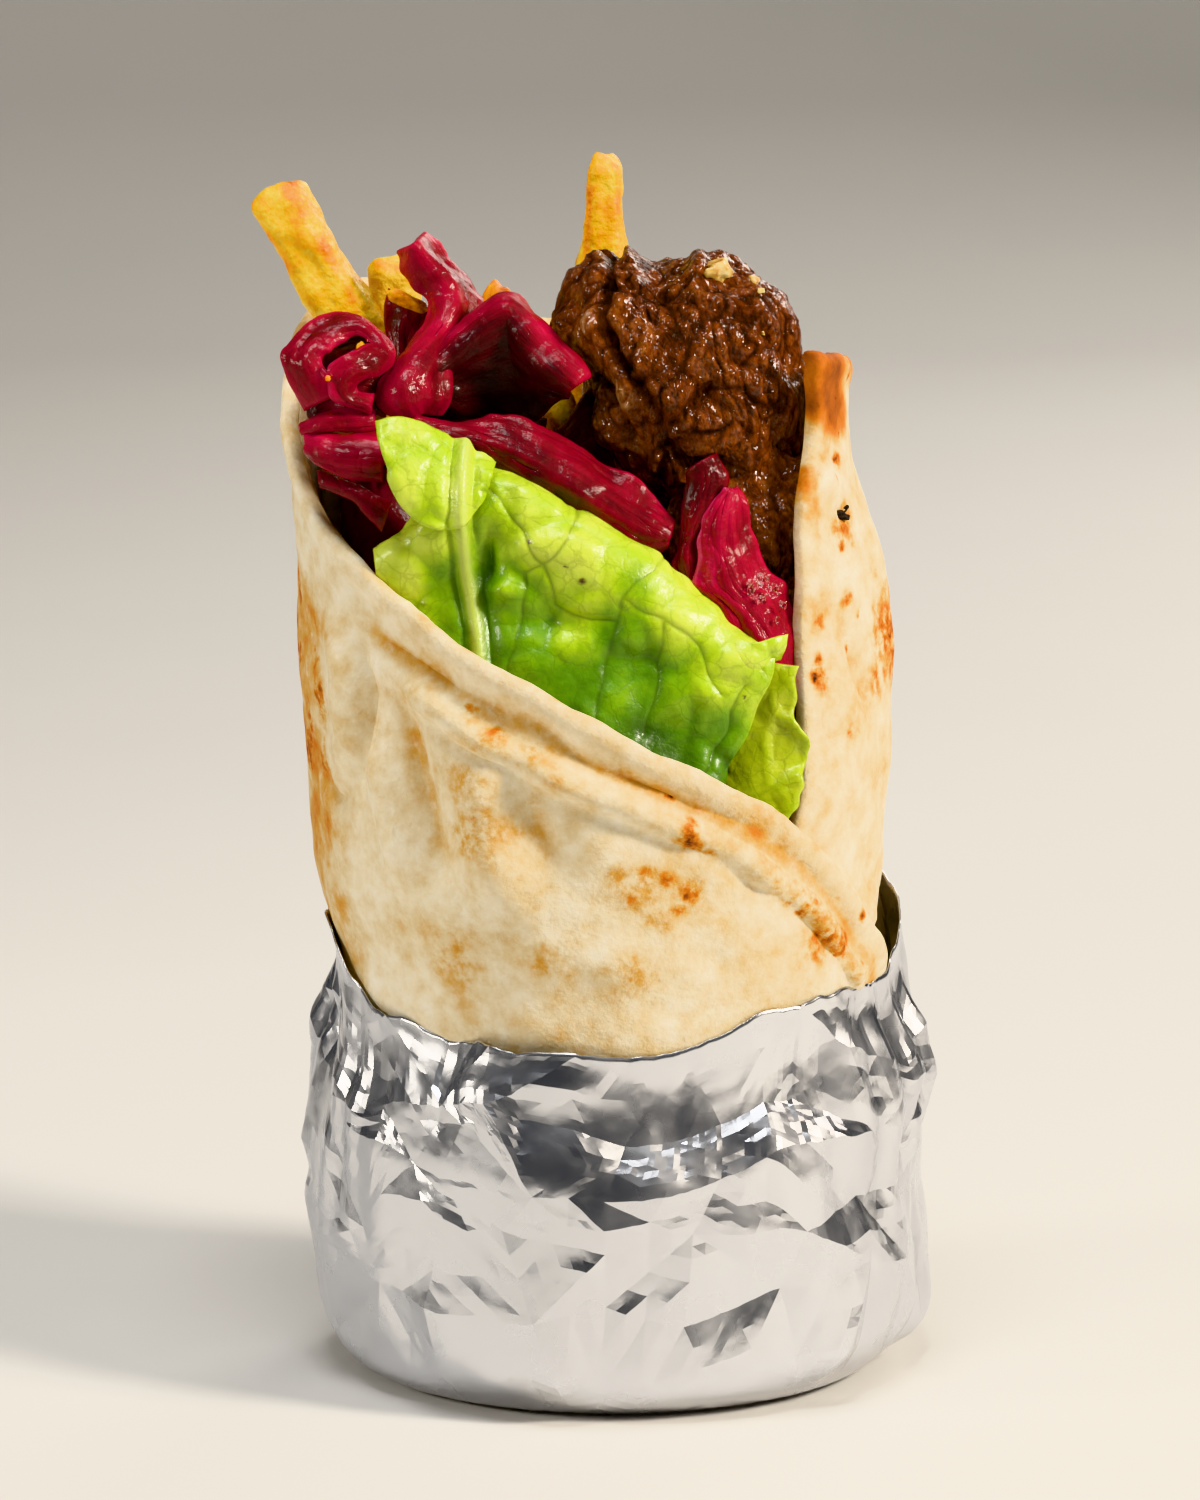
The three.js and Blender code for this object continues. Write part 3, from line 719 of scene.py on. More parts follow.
# The foil's oval: how far in front of the wrap's middle it lies, and its depth for its width.
FOIL_SHIFT = -1.6
FOIL_DEPTH_SHARE = 0.88

# The sheet's thickness, how clear of the bread it stays, and how far below its edge it is pulled in.
FOIL_SHEET = 0.2
FOIL_CLEAR = 0.3
FOIL_GRIP = 20

# How the foil was torn, as waves of height, size on a circle of radius 1, and seed.
FOIL_TORN = [(1.3, 0.2, 3), (0.5, 0.045, 4)]

# Where the foil's edge stands loose of the bread: degrees.
FOIL_LETS_GO = (84, 100)
FOIL_HOLDS_AGAIN = (150, 170)

# The outside of the foil: height, reach to the left, reach to the right.
foil_reach = smooth_line([
    (0, 39.5, 43.5),
    (12, 41.2, 46.0),
    (35, 41.5, 46.5),
    (58, 39.4, 44.3),
    (72, 40.6, 44.2),
])


def foil_place(u, v):
    """The foil's outside before it was crumpled, from the foot's middle to the torn edge."""
    degrees = lerp(-180, 180, u)
    angle = math.radians(degrees)
    facing = Vector((math.cos(angle), math.sin(angle), 0))
    rim = foil_edge(degrees) + lumpy(facing, FOIL_TORN)
    radius = sum(foil_reach(0)) / 2
    flat = radius - BASE_CORNER
    corner = BASE_CORNER * math.pi / 2
    travelled = v * (flat + corner + rim - BASE_CORNER)
    turn = min(max((travelled - flat) / BASE_CORNER, 0), math.pi / 2)
    climbed = max(travelled - flat - corner, 0)
    height = BASE_CORNER * (1 - math.cos(turn)) + climbed
    out = (min(travelled, flat) + BASE_CORNER * math.sin(turn)) / radius
    left, right = foil_reach(height)
    half = (left + right) / 2
    x = (right - left) / 2 + half * out * math.sin(angle)
    y = FOIL_SHIFT - half * FOIL_DEPTH_SHARE * out * math.cos(angle)
    roll = degrees + 360 if degrees < ROLL_END - 360 else degrees
    bread = on_wrap(degrees, height, -layer_offset(roll) - FOIL_CLEAR)
    loose = smoothstep(degrees, *FOIL_LETS_GO) * (1 - smoothstep(degrees, *FOIL_HOLDS_AGAIN))
    gripped = smoothstep(height, rim - FOIL_GRIP, rim - 2) * (1 - loose)
    return Vector((x, y, height)).lerp(bread, gripped)


# Bright rolled aluminium: a mirror that is a little dulled by fine rolling lines and by handling.
foil_rolled, tree = new_material("rolled_aluminium_foil")
place = add(tree, "ShaderNodeTexCoord").outputs["Object"]
handled = add(tree, "ShaderNodeTexNoise", {"Vector": place, "Scale": per(9), "Detail": 3.0})
creased = add(
    tree,
    "ShaderNodeTexVoronoi",
    {"Vector": place, "Scale": per(3.2)},
    feature="DISTANCE_TO_EDGE",
)
fine = add(tree, "ShaderNodeTexNoise", {"Vector": place, "Scale": per(1.2), "Detail": 4.0})
dull = add(
    tree,
    "ShaderNodeMapRange",
    {"Value": handled.outputs[0], "From Min": 0.3, "From Max": 0.7, "To Min": 0.18, "To Max": 0.32},
)
relief = add(
    tree,
    "ShaderNodeMath",
    {0: fine.outputs[0], 1: 0.25, 2: creased.outputs[0]},
    operation="MULTIPLY_ADD",
)
bump = add(tree, "ShaderNodeBump", {"Height": relief.outputs[0], "Strength": 0.12, "Distance": 0.25 * MM})
metal = add(
    tree,
    "ShaderNodeBsdfPrincipled",
    {
        "Base Color": colour("#d9dade"),
        "Metallic": 1.0,
        "Roughness": dull.outputs[0],
        "Normal": bump.outputs[0],
    },
)
add(tree, "ShaderNodeOutputMaterial", {"Surface": metal.outputs[0]})

# The foil's facets before they are halved, how far their corners stray and are thrown out of the
# sheet, how far each halving throws its new corners, and what share of those it throws at all.
FOIL_COLUMNS = 20
FOIL_ROWS = 6
FOIL_SEED = 5
FOIL_STRAY = 0.3
FOIL_FIRST_CREASES = 1.35
FOIL_HALVINGS = [0.5, 0.15, 0.045, 0.01]
FOIL_CREASED_SHARE = 0.5

# Edges that bend less than this are shaded smooth.
FOIL_CREASE_ANGLE = math.radians(5)

# The flat sheet's length round the wrap and its height, and where each row of facets lies on it.
FOIL_ROUND = 260
FOIL_TALL = 96
foil_row_place = smooth_line([(0, 0), (0.15, 0.34), (1, 1)])

# The upright pleats: how wide and deep they are, with the front's depth first, over which degrees
# they deepen at the right and the left, and over which heights.
PLEAT_WIDTH = 8.5
PLEAT_DEPTHS = (0.1, 0.6)
PLEATS_RIGHT = (25, 60)
PLEATS_LEFT = (-75, -50)
PLEATS_RISE = (14, 40)
PLEATS_FADE = 9


def gathered(degrees, height, rim):
    """How far the foil is gathered into upright pleats where it was squeezed round the bread."""
    across = degrees * MM_PER_DEGREE
    place = across / PLEAT_WIDTH + 0.6 * rough(Vector((across, 0.3 * height, 0)), 15, 6)
    pleat = math.sin(2 * math.pi * place)
    pulled = smoothstep(height, *PLEATS_RISE) * (1 - 0.7 * smoothstep(height, rim - PLEATS_FADE, rim))
    sides = smoothstep(degrees, *PLEATS_RIGHT) + 1 - smoothstep(degrees, *PLEATS_LEFT)
    return pleat * pulled * lerp(*PLEAT_DEPTHS, sides)


foil_chance = random.Random(FOIL_SEED)
bm, corners = new_sheet(FOIL_COLUMNS, FOIL_ROWS)
for vert, u, v in corners:
    inside = 0.001 < u < 0.999
    stray_u = foil_chance.uniform(-FOIL_STRAY, FOIL_STRAY) / FOIL_COLUMNS
    stray_v = foil_chance.uniform(-FOIL_STRAY, FOIL_STRAY) / FOIL_ROWS
    thrown = foil_chance.gauss(0, FOIL_FIRST_CREASES)
    up = foil_row_place(v + stray_v * inside * (0.001 < v < 0.999))
    vert.co = Vector(((u + stray_u * inside) * FOIL_ROUND, up * FOIL_TALL, thrown * inside))
bmesh.ops.triangulate(bm, faces=bm.faces, quad_method="BEAUTY")
for deep in FOIL_HALVINGS:
    kept = set(bm.verts)
    bmesh.ops.subdivide_edges(bm, edges=bm.edges, cuts=1, use_grid_fill=True)
    for vert in bm.verts:
        added = vert not in kept and 0.1 < vert.co.x < FOIL_ROUND - 0.1
        if added and foil_chance.random() < FOIL_CREASED_SHARE:
            vert.co.z += foil_chance.gauss(0, deep)
lifts = []
for vert in bm.verts:
    u = vert.co.x / FOIL_ROUND
    thrown = vert.co.z
    vert.co = foil_place(u, vert.co.y / FOIL_TALL)
    degrees = lerp(-180, 180, u)
    rim = foil_edge(degrees)
    free = smoothstep(vert.co.z, 1, 8) * (1 - 0.45 * smoothstep(vert.co.z, rim - 5, rim))
    lifts.append((vert, thrown * free + gathered(degrees, vert.co.z, rim)))
bmesh.ops.recalc_face_normals(bm, faces=bm.faces)
bm.normal_update()
for vert, lift in lifts:
    vert.co += vert.normal * lift
    vert.co.z = max(vert.co.z, 0)
bmesh.ops.remove_doubles(bm, verts=bm.verts, dist=0.001)
bmesh.ops.recalc_face_normals(bm, faces=bm.faces)
for edge in bm.edges:
    edge.smooth = edge.calc_face_angle(0) < FOIL_CREASE_ANGLE
foil = new_piece("foil_crumpled", bm, foil_rolled, ["foil"])
sheet = foil.modifiers.new("thickness", "SOLIDIFY")
sheet.thickness = FOIL_SHEET * MM
sheet.offset = -1


# ---- Minced meat ----
# Two fingers of minced meat, pressed by hand and grilled. The crust is wrinkled where the mince shrank,
# painted dark in its cracks and deep folds as a painted shade, and wet with fat. Bits of fat and onion show
# at the top.

# Each finger: how often its ball is halved, its middle, half its depth and its own seed.
UPPER_DETAIL = 7
UPPER_CENTRE = Vector((11.9, -1.5, 144.7))
UPPER_DEPTH = 15.5
UPPER_SEED = 4.3
LOWER_DETAIL = 6
LOWER_CENTRE = Vector((21, -6.5, 113))
LOWER_DEPTH = 11.5
LOWER_SEED = 9.1

# The outline of each finger from the front, round from the top: places across and up.
UPPER_OUTLINE = [
    (0, 16.3), (1.9, 17.7), (3.8, 16.9), (6.2, 16.8), (9, 15.6), (10.7, 13.9), (12.4, 11.4),
    (14.8, 8.8), (16.7, 5.8), (17.6, 2.9), (18, -0.5), (18.3, -4.4), (18.3, -8.3), (17.9, -12.2),
    (16.2, -15.6), (12.4, -18), (8, -19), (2.4, -19.5), (-2.4, -19.4), (-6.2, -17.4), (-10, -13.9),
    (-13.4, -10.7), (-14.9, -7.3), (-14.8, -3.4), (-15.8, 0.5), (-17.4, 2.9), (-18.8, 5.8),
    (-18.9, 8.8), (-17.6, 12.2), (-15.5, 15.4), (-13.3, 17.4), (-11, 17.1), (-9.6, 16), (-8.3, 17.9),
    (-6.7, 17.2), (-4.8, 16.5),
]
LOWER_OUTLINE = [
    (0, 24), (8, 20), (11.5, 8), (11.5, -8), (7, -21), (0, -24), (-8, -21), (-12, -8), (-12, 8),
    (-8, 20),
]

# The deepest folds of the upper finger: routes across and up from its middle, width and depth.
UPPER_FOLDS = [
    ([(-11.2, 17), (-11.3, 13.5), (-12, 9.5), (-10.4, 5), (-8.5, 2.5)], 0.9, 2.6),
    ([(-8.5, 2.5), (-5.2, -2), (-3.6, -6), (-2.5, -10.5), (-3.6, -15)], 0.8, 1.6),
    ([(-11, 13.8), (-5, 13.3), (2, 12), (8, 9.8), (13, 6.2)], 0.7, 1.2),
    ([(4, -0.4), (0.4, -3), (-2, -6.4)], 0.9, 1.5),
    ([(4, -0.4), (9, -1.2), (12, -4)], 0.7, 1.0),
    ([(-2.4, -10), (1, -12.6), (5.2, -12.6), (9, -14.6), (15.7, -15.6)], 1.2, 2.4),
    ([(-15, 0.5), (-11, -1), (-9.6, -5), (-8.2, -9)], 0.8, 1.5),
    ([(6, 8.6), (7.6, 3.6), (12.4, 1)], 0.6, 0.9),
]

# The folds stop this far behind the finger's middle, and the whole crust has shrunk by this much.
FOLDS_END = 6
MEAT_SHRUNK = 0.7

# Where the upper finger is torn and its fibres show: a knob at the left, place and radius, and a
# strip below it, route and width. The lower finger is torn a little all over.
TORN_KNOB = (-14, 7, 3.6)
TORN_STRIP = ([(-9.5, -1), (-8.5, -9), (-6, -14)], 1.8)
LOWER_TORN = 0.2

# The crust's relief: the size of its lumps, cracks, folds and grains, and how high each stands.
LUMP_SIZE, LUMP_RISE = 5.2, 2.2
CRACK_SIZE, CRACK_RISE = 3.4, 0.5
WRINKLE_SIZE, WRINKLE_RISE = 1.6, 0.6
GRAIN_SIZE, GRAIN_RISE = 0.85, 0.28
RELIEF_MIDDLE = 0.65


def closed_outline(places):
    """An outline's reach from its middle, by the direction from the top in radians."""
    polar = sorted((math.atan2(x, z), math.hypot(x, z)) for x, z in places)
    first, last = polar[0], polar[-1]
    turn = 2 * math.pi
    return smooth_line([(last[0] - turn, last[1]), *polar, (first[0] + turn, first[1])])


def wrinkles(point, seed):
    """Soft lumps under a finely creased crust, and how high out of the creases a place is, which sets the
    painted shade in the creases.

    The crust follows the fibres of the mince, which run up the finger and sway."""
    bend = Vector([rough(point, 8, seed + axis) for axis in (0, 1, 2)])
    bent = point + 2.2 * bend
    bent.z *= 0.6
    lumps = rough(bent, LUMP_SIZE, seed + 3)
    cracks = abs(rough(bent, CRACK_SIZE, seed + 4))
    folds = abs(rough(bent, WRINKLE_SIZE, seed + 5))
    grains = abs(rough(bent + bend, GRAIN_SIZE, seed + 6))
    high = min(0.25 + 4.2 * cracks, 1) * min(0.45 + 2.6 * folds, 1) * min(0.7 + 1.5 * grains, 1)
    shrunk = 0.3 + 0.8 * smoothstep(rough(point, 6.5, seed + 7), -0.3, 0.3)
    creased = CRACK_RISE * smoothstep(cracks, 0, 0.16) + WRINKLE_RISE * folds
    return shrunk * creased + LUMP_RISE * lumps + GRAIN_RISE * grains - RELIEF_MIDDLE, high


def new_ball(subdivisions, *attributes):
    """A ball of even triangles with the named attributes on its vertices."""
    bm = bmesh.new()
    for name in attributes:
        bm.verts.layers.float.new(name)
    bmesh.ops.create_icosphere(bm, subdivisions=subdivisions, radius=1)
    return bm


# Grilled mince: browned protein under a film of hot fat, painted almost black in the cracks and deep folds
# as a painted shade, and tan where the fibres are torn. Fine fibres run up it. The film is thick on what
# stands out and thin in the cracks, and it lies in beads that break its shine into many small sharp
# highlights.
meat_grilled, tree = new_material("grilled_minced_meat")
place = add(tree, "ShaderNodeTexCoord").outputs["Object"]
# The raised attribute is low in the cracks and deep folds, and the crust is painted darker there, a painted
# shade.
raised = add(tree, "ShaderNodeAttribute", attribute_name="raised").outputs["Fac"]
torn = add(tree, "ShaderNodeAttribute", attribute_name="torn").outputs["Fac"]
warped = add(tree, "ShaderNodeTexNoise", {"Vector": place, "Scale": per(4), "Detail": 2.0})
twisted = add(
    tree,
    "ShaderNodeVectorMath",
    {0: warped.outputs[1], 1: (2 * MM, 2 * MM, 2 * MM), 2: place},
    operation="MULTIPLY_ADD",
)
browned = add(tree, "ShaderNodeTexNoise", {"Vector": place, "Scale": per(5), "Detail": 5.0})
drawn = add(tree, "ShaderNodeVectorMath", {0: twisted.outputs[0], 1: (1, 1, 0.5)}, operation="MULTIPLY")
fibres = add(
    tree,
    "ShaderNodeTexNoise",
    {"Vector": drawn.outputs[0], "Scale": per(0.8), "Detail": 5.0, "Roughness": 0.62},
)
pores = add(tree, "ShaderNodeTexVoronoi", {"Vector": drawn.outputs[0], "Scale": per(0.9)}, feature="F1")
tone = add(tree, "ShaderNodeMath", {0: browned.outputs[0], 1: 0.5, 2: -0.49}, operation="MULTIPLY_ADD")
speckle = add(
    tree,
    "ShaderNodeMath",
    {0: fibres.outputs[0], 1: 0.6, 2: tone.outputs[0]},
    operation="MULTIPLY_ADD",
)
level = add(tree, "ShaderNodeMath", {0: raised, 1: 0.62, 2: speckle.outputs[0]}, operation="MULTIPLY_ADD")
lifted = add(tree, "ShaderNodeMath", {0: torn, 1: 0.26, 2: level.outputs[0]}, operation="MULTIPLY_ADD")
crust = add(
    tree,
    "ShaderNodeValToRGB",
    {0: lifted.outputs[0]},
    stops=[
        (0.0, "#120401"),
        (0.2, "#341205"),
        (0.38, "#5c260a"),
        (0.56, "#783810"),
        (0.76, "#935226"),
        (0.96, "#b98a62"),
    ],
)
relief = add(
    tree,
    "ShaderNodeMath",
    {0: pores.outputs[0], 1: -0.8, 2: fibres.outputs[0]},
    operation="MULTIPLY_ADD",
)
bump = add(tree, "ShaderNodeBump", {"Height": relief.outputs[0], "Strength": 1.0, "Distance": 1.3 * MM})
beaded = add(tree, "ShaderNodeTexNoise", {"Vector": drawn.outputs[0], "Scale": per(1.0), "Detail": 1.5})
film = add(tree, "ShaderNodeBump", {"Height": beaded.outputs[0], "Strength": 1.0, "Distance": 1.1 * MM})
fatty = add(
    tree,
    "ShaderNodeMapRange",
    {"Value": browned.outputs[0], "From Min": 0.35, "From Max": 0.65, "To Min": 0.4, "To Max": 0.6},
)
wetted = add(
    tree,
    "ShaderNodeMapRange",
    {"Value": raised, "From Min": 0.25, "From Max": 0.75, "To Min": 0.05, "To Max": 1.0},
)
mince = add(
    tree,
    "ShaderNodeBsdfPrincipled",
    {
        "Base Color": crust.outputs[0],
        "Roughness": fatty.outputs[0],
        "IOR": 1.45,
        "Specular IOR Level": 0.3,
        "Specular Tint": colour("#e8b080"),
        "Coat Weight": wetted.outputs[0],
        "Coat Roughness": 0.09,
        "Normal": bump.outputs[0],
        "Coat Normal": film.outputs[0],
    },
)
add(tree, "ShaderNodeOutputMaterial", {"Surface": mince.outputs[0]})


def new_meat(name, node, detail, centre, outline, depth, folds, seed):
    """A finger of mince inside an outline. Returns its surface, to lay things on."""
    reach = closed_outline(outline)
    bm = new_ball(detail, "raised", "torn")
    raised_layer = bm.verts.layers.float["raised"]
    torn_layer = bm.verts.layers.float["torn"]
    for vert in bm.verts:
        direction = vert.co.normalized()
        out = math.hypot(direction.x, direction.z)
        around = reach(math.atan2(direction.x, direction.z)) * out ** 0.85 / max(out, 1e-6)
        shaped = Vector((direction.x * around, direction.y * depth, direction.z * around))
        relief, high = wrinkles(shaped, seed)
        sunk = 0
        for route, width, deep in folds:
            if shaped.y < FOLDS_END:
                near = from_route(shaped.x, shaped.z, route) + 0.5 * rough(shaped, 2.5, seed)
                sunk = max(sunk, deep * hump(near, width))
        # Painted shade: the deep folds lower raised, so the crust is painted darker in them as well as in
        # the cracks.
        vert[raised_layer] = high * (1 - 0.3 * sunk)

        # The fibres show where the crust is torn.
        knob_x, knob_z, knob_radius = TORN_KNOB
        knob = hump(math.hypot(shaped.x - knob_x, shaped.z - knob_z), knob_radius)
        route, width = TORN_STRIP
        strip = hump(from_route(shaped.x, shaped.z, route), width)
        vert[torn_layer] = max(knob, strip) if folds else LOWER_TORN
        vert.co = centre + shaped + direction * (relief - sunk - MEAT_SHRUNK)
    bmesh.ops.recalc_face_normals(bm, faces=bm.faces)
    surface = BVHTree.FromBMesh(bm)
    new_piece(name, bm, meat_grilled, [node])
    return surface


upper_surface = new_meat(
    "minced_meat_upper",
    "kofte_upper",
    UPPER_DETAIL,
    UPPER_CENTRE,
    UPPER_OUTLINE,
    UPPER_DEPTH,
    UPPER_FOLDS,
    UPPER_SEED,
)
new_meat(
    "minced_meat_lower",
    "kofte_lower",
    LOWER_DETAIL,
    LOWER_CENTRE,
    LOWER_OUTLINE,
    LOWER_DEPTH,
    [],
    LOWER_SEED,
)

# Bits of fat and onion at the top of the meat: across and up from its middle, and size. Each is
# dropped on the crust from in front, from this far away.
BIT_DROP = 60
FAT_BITS = [
    (4.2, 14.9, 1.9),
    (9.6, 13.3, 0.8),
    (10.7, 12.3, 0.5),
    (10.9, 6.6, 0.3),
]

# Fat and onion: soft, pale yellow, toasted a little on its corners and clear at its thin edges.
fat_toasted, tree = new_material("toasted_fat_and_onion")
place = add(tree, "ShaderNodeTexCoord").outputs["Object"]
toasty = add(tree, "ShaderNodeTexNoise", {"Vector": place, "Scale": per(1.4), "Detail": 4.0})
cream = add(
    tree,
    "ShaderNodeValToRGB",
    {0: toasty.outputs[0]},
    stops=[(0.35, "#f3e2a4"), (0.52, "#dcb868"), (0.7, "#96591f")],
)
fat = add(
    tree,
    "ShaderNodeBsdfPrincipled",
    {
        "Base Color": cream.outputs[0],
        "Roughness": 0.32,
        "Subsurface Weight": 0.3,
        "Subsurface Radius": (1.0, 0.8, 0.4),
        "Subsurface Scale": 0.8 * MM,
        "Coat Weight": 0.4,
        "Coat Roughness": 0.12,
    },
)
add(tree, "ShaderNodeOutputMaterial", {"Surface": fat.outputs[0]})

bm = bmesh.new()
for across, up, size in FAT_BITS:
    start = UPPER_CENTRE + Vector((across, -BIT_DROP, up))
    spot = upper_surface.ray_cast(start, Vector((0, 1, 0)))[0]
    bit = bmesh.ops.create_icosphere(bm, subdivisions=3, radius=1)["verts"]
    for vert in bit:
        uneven = 1 + 0.8 * rough(vert.co + spot, 0.8, 1)
        blocky = Vector([math.copysign(abs(reach) ** 0.75, reach) for reach in vert.co])
        flat = Vector((blocky.x, blocky.y * 0.6, blocky.z * 0.8)) * uneven
        vert.co = spot + flat * size
new_piece("fat_and_onion_bits", bm, fat_toasted)


# ---- Chips ----
# Thick chips cut from potato and fried twice. The corners are crisp and browner than the sides,
# which are lumpy and blistered all over, and the ends are uneven.

# Each chip: its tip, the way it runs down, length, width, how narrow its tip is, how far it bends,
# how far it is turned about its length, and how much darker it is fried.
CHIPS = {
    "fry_left": (Vector((-46.4, 4, 169.8)), Vector((0.535, 0.06, -0.845)), 72, 7.9, 1.02, 1.0, 20, -0.03),
    "fry_back": (Vector((-29.6, 14, 158.6)), Vector((0.0, 0.06, -1)), 54, 8.4, 1.0, 0.6, 4, -0.13),
    "fry_centre": (Vector((0.9, 17, 173)), Vector((-0.03, 0.02, -1)), 66, 8.5, 0.58, -0.6, 25, -0.02),
    "fry_tip": (Vector((-14.8, 9, 155)), Vector((0.1, 0.08, -1)), 44, 6.5, 0.6, 1.0, 30, 0.16),
    "fry_deep": (Vector((-5.6, -1, 141)), Vector((0.05, 0.25, -1)), 34, 6.5, 0.85, 1.0, 40, 0.0),
}

# How round the corners are, as a share of the width, and how finely a chip is divided.
CHIP_ROUNDING = 0.36
CHIP_ACROSS = 15
CHIP_STEP = 0.5

# The lumps of a chip's skin, as waves of height, size and seed, and how far its sides sink in.
CHIP_LUMPS = [(0.7, 7, 2), (0.42, 3.2, 3), (0.2, 1.4, 4)]
CHIP_SUNK = 0.15

# The uneven cut at the tip: how far it rises and how far down that is felt. The chip has its full
# width after this share of its length, and a slight waist at this one.
TIP_UNEVEN = 1.3
TIP_LENGTH = 4
TAPER_SHARE = 0.35
WAIST_SHARE = 0.16

# Fried potato: a thin dry crust of starch, gold on the sides and orange on some of the corners,
# with paler patches where the flesh shows through, and a little oil on it.
potato_fried, tree = new_material("fried_potato")
place = add(tree, "ShaderNodeTexCoord").outputs["Object"]
cornered = add(tree, "ShaderNodeAttribute", attribute_name="corner").outputs["Fac"]
patches = add(
    tree,
    "ShaderNodeTexNoise",
    {"Vector": place, "Scale": per(4), "Detail": 6.0, "Roughness": 0.6},
)
crumbs = add(tree, "ShaderNodeTexNoise", {"Vector": place, "Scale": per(0.8), "Detail": 5.0})
blisters = add(tree, "ShaderNodeTexVoronoi", {"Vector": place, "Scale": per(1.3)}, feature="SMOOTH_F1")
mixed = add(tree, "ShaderNodeMath", {0: patches.outputs[0], 1: 0.82, 2: cornered}, operation="MULTIPLY_ADD")
tone = add(
    tree,
    "ShaderNodeMath",
    {0: crumbs.outputs[0], 1: 0.42, 2: mixed.outputs[0]},
    operation="MULTIPLY_ADD",
)
gold = add(
    tree,
    "ShaderNodeValToRGB",
    {0: tone.outputs[0]},
    stops=[
        (0.48, "#ffdc58"),
        (0.64, "#ffc41e"),
        (0.8, "#ffa606"),
        (0.92, "#e88404"),
        (1.0, "#b85f04"),
    ],
)
relief = add(
    tree,
    "ShaderNodeMath",
    {0: blisters.outputs[0], 1: 0.7, 2: crumbs.outputs[0]},
    operation="MULTIPLY_ADD",
)
bump = add(tree, "ShaderNodeBump", {"Height": relief.outputs[0], "Strength": 0.6, "Distance": 0.5 * MM})
crust = add(
    tree,
    "ShaderNodeBsdfPrincipled",
    {
        "Base Color": gold.outputs[0],
        "Roughness": 0.42,
        "Specular IOR Level": 0.35,
        "Subsurface Weight": 0.12,
        "Subsurface Radius": (1.0, 0.6, 0.1),
        "Subsurface Scale": 1.6 * MM,
        "Coat Weight": 0.14,
        "Coat Roughness": 0.25,
        "Normal": bump.outputs[0],
        "Coat Normal": bump.outputs[0],
    },
)
add(tree, "ShaderNodeOutputMaterial", {"Surface": crust.outputs[0]})


def new_chip(node, tip, direction, length, width, taper, bend, turn, fried):
    """A chip that runs from its tip: a long block, rounded, tapered, lumpy, bent and turned."""
    bm = bmesh.new()
    corner_layer = bm.verts.layers.float.new("corner")
    bmesh.ops.create_cube(bm, size=1)
    long = [edge for edge in bm.edges if abs(edge.verts[0].co.z - edge.verts[1].co.z) > 0.5]
    bmesh.ops.subdivide_edges(bm, edges=long, cuts=round(length / CHIP_STEP), use_grid_fill=True)
    short = [edge for edge in bm.edges if abs(edge.verts[0].co.z - edge.verts[1].co.z) < 1e-4]
    bmesh.ops.subdivide_edges(bm, edges=short, cuts=CHIP_ACROSS, use_grid_fill=True)
    bmesh.ops.translate(bm, vec=(0, 0, 0.5), verts=bm.verts)
    facing = Vector((0, 0, 1)).rotation_difference(direction)
    turned = math.radians(turn)
    rounding = width * CHIP_ROUNDING
    half = width / 2
    for vert in bm.verts:
        # Every place lies at one distance from a smaller block, which rounds the corners.
        flat = Vector((vert.co.x * width, vert.co.y * width, vert.co.z * length))
        inner = Vector((
            min(max(flat.x, rounding - half), half - rounding),
            min(max(flat.y, rounding - half), half - rounding),
            min(max(flat.z, rounding), length - rounding),
        ))
        out = flat - inner
        normal = out.normalized()
        point = inner + normal * rounding

        # Its corners and its tip are fried browner, in patches.
        seeded = point + tip
        share = point.z / length
        patchy = smoothstep(rough(seeded, 5, 7), -0.25, 0.35)
        at_tip = 1 - smoothstep(point.z, 0, TIP_LENGTH)
        at_corner = smoothstep(out.length / rounding, 1.02, 1.25)
        vert[corner_layer] = fried + 0.2 * at_corner * patchy + 0.08 * at_tip * patchy

        # Its sides are lumpy and sink in a little, and its tip is cut unevenly.
        sunk = CHIP_SUNK * hump(point.x / half, 0.5) + CHIP_SUNK * hump(point.y / half, 0.5)
        point += normal * (lumpy(seeded, CHIP_LUMPS) - sunk)
        point.z += TIP_UNEVEN * rough(Vector((point.x, point.y, tip.x)), 4, 5) * at_tip

        # It narrows towards its tip, bends, and is turned about its own length.
        uneven = 1 + 0.07 * rough(Vector((point.z, tip.x, 0)), 8)
        narrow = lerp(taper, 1, smoothstep(share, 0, TAPER_SHARE)) * uneven
        waist = 1 - 0.08 * hump(point.z - WAIST_SHARE * length, 5)
        point.x = point.x * narrow * waist + bend * math.sin(math.pi * share)
        point.y *= narrow * waist
        x = point.x * math.cos(turned) - point.y * math.sin(turned)
        y = point.x * math.sin(turned) + point.y * math.cos(turned)
        vert.co = facing @ Vector((x, y, point.z)) + tip
    new_piece("chip_" + node.removeprefix("fry_"), bm, potato_fried, [node])


for node, shape in CHIPS.items():
    new_chip(node, *shape)


# ---- Lettuce ----
# A green lettuce leaf lines the inside of the flap, with its top edge rolled over and its tip
# folded forward at the left. A smaller, yellower leaf hangs out past it at the right.

# The leaf's foot along the flap in degrees, and how far below the flap's edge it ends. The room
# it takes up against the bread is more than its own thickness, because it is puffed.
LEAF_FROM = -53
LEAF_TO = 20
LEAF_DEPTH = 18
LEAF_ROOM = 1.1
LEAF_SHEET = 0.7
LEAF_EDGE_SHARE = 0.3

# The top of the leaf where it rolls over, from the left.
LEAF_ROLLED_EDGE = [
    (-31.5, -21.5, 123),
    (-27, -23, 127),
    (-22, -23, 132.5),
    (-14.5, -22, 135),
    (-7, -23.5, 131.5),
    (1, -24.5, 127.5),
    (9, -25, 121.8),
    (15, -25.5, 117.2),
    (20, -26, 112.6),
    (25, -25.5, 111),
]

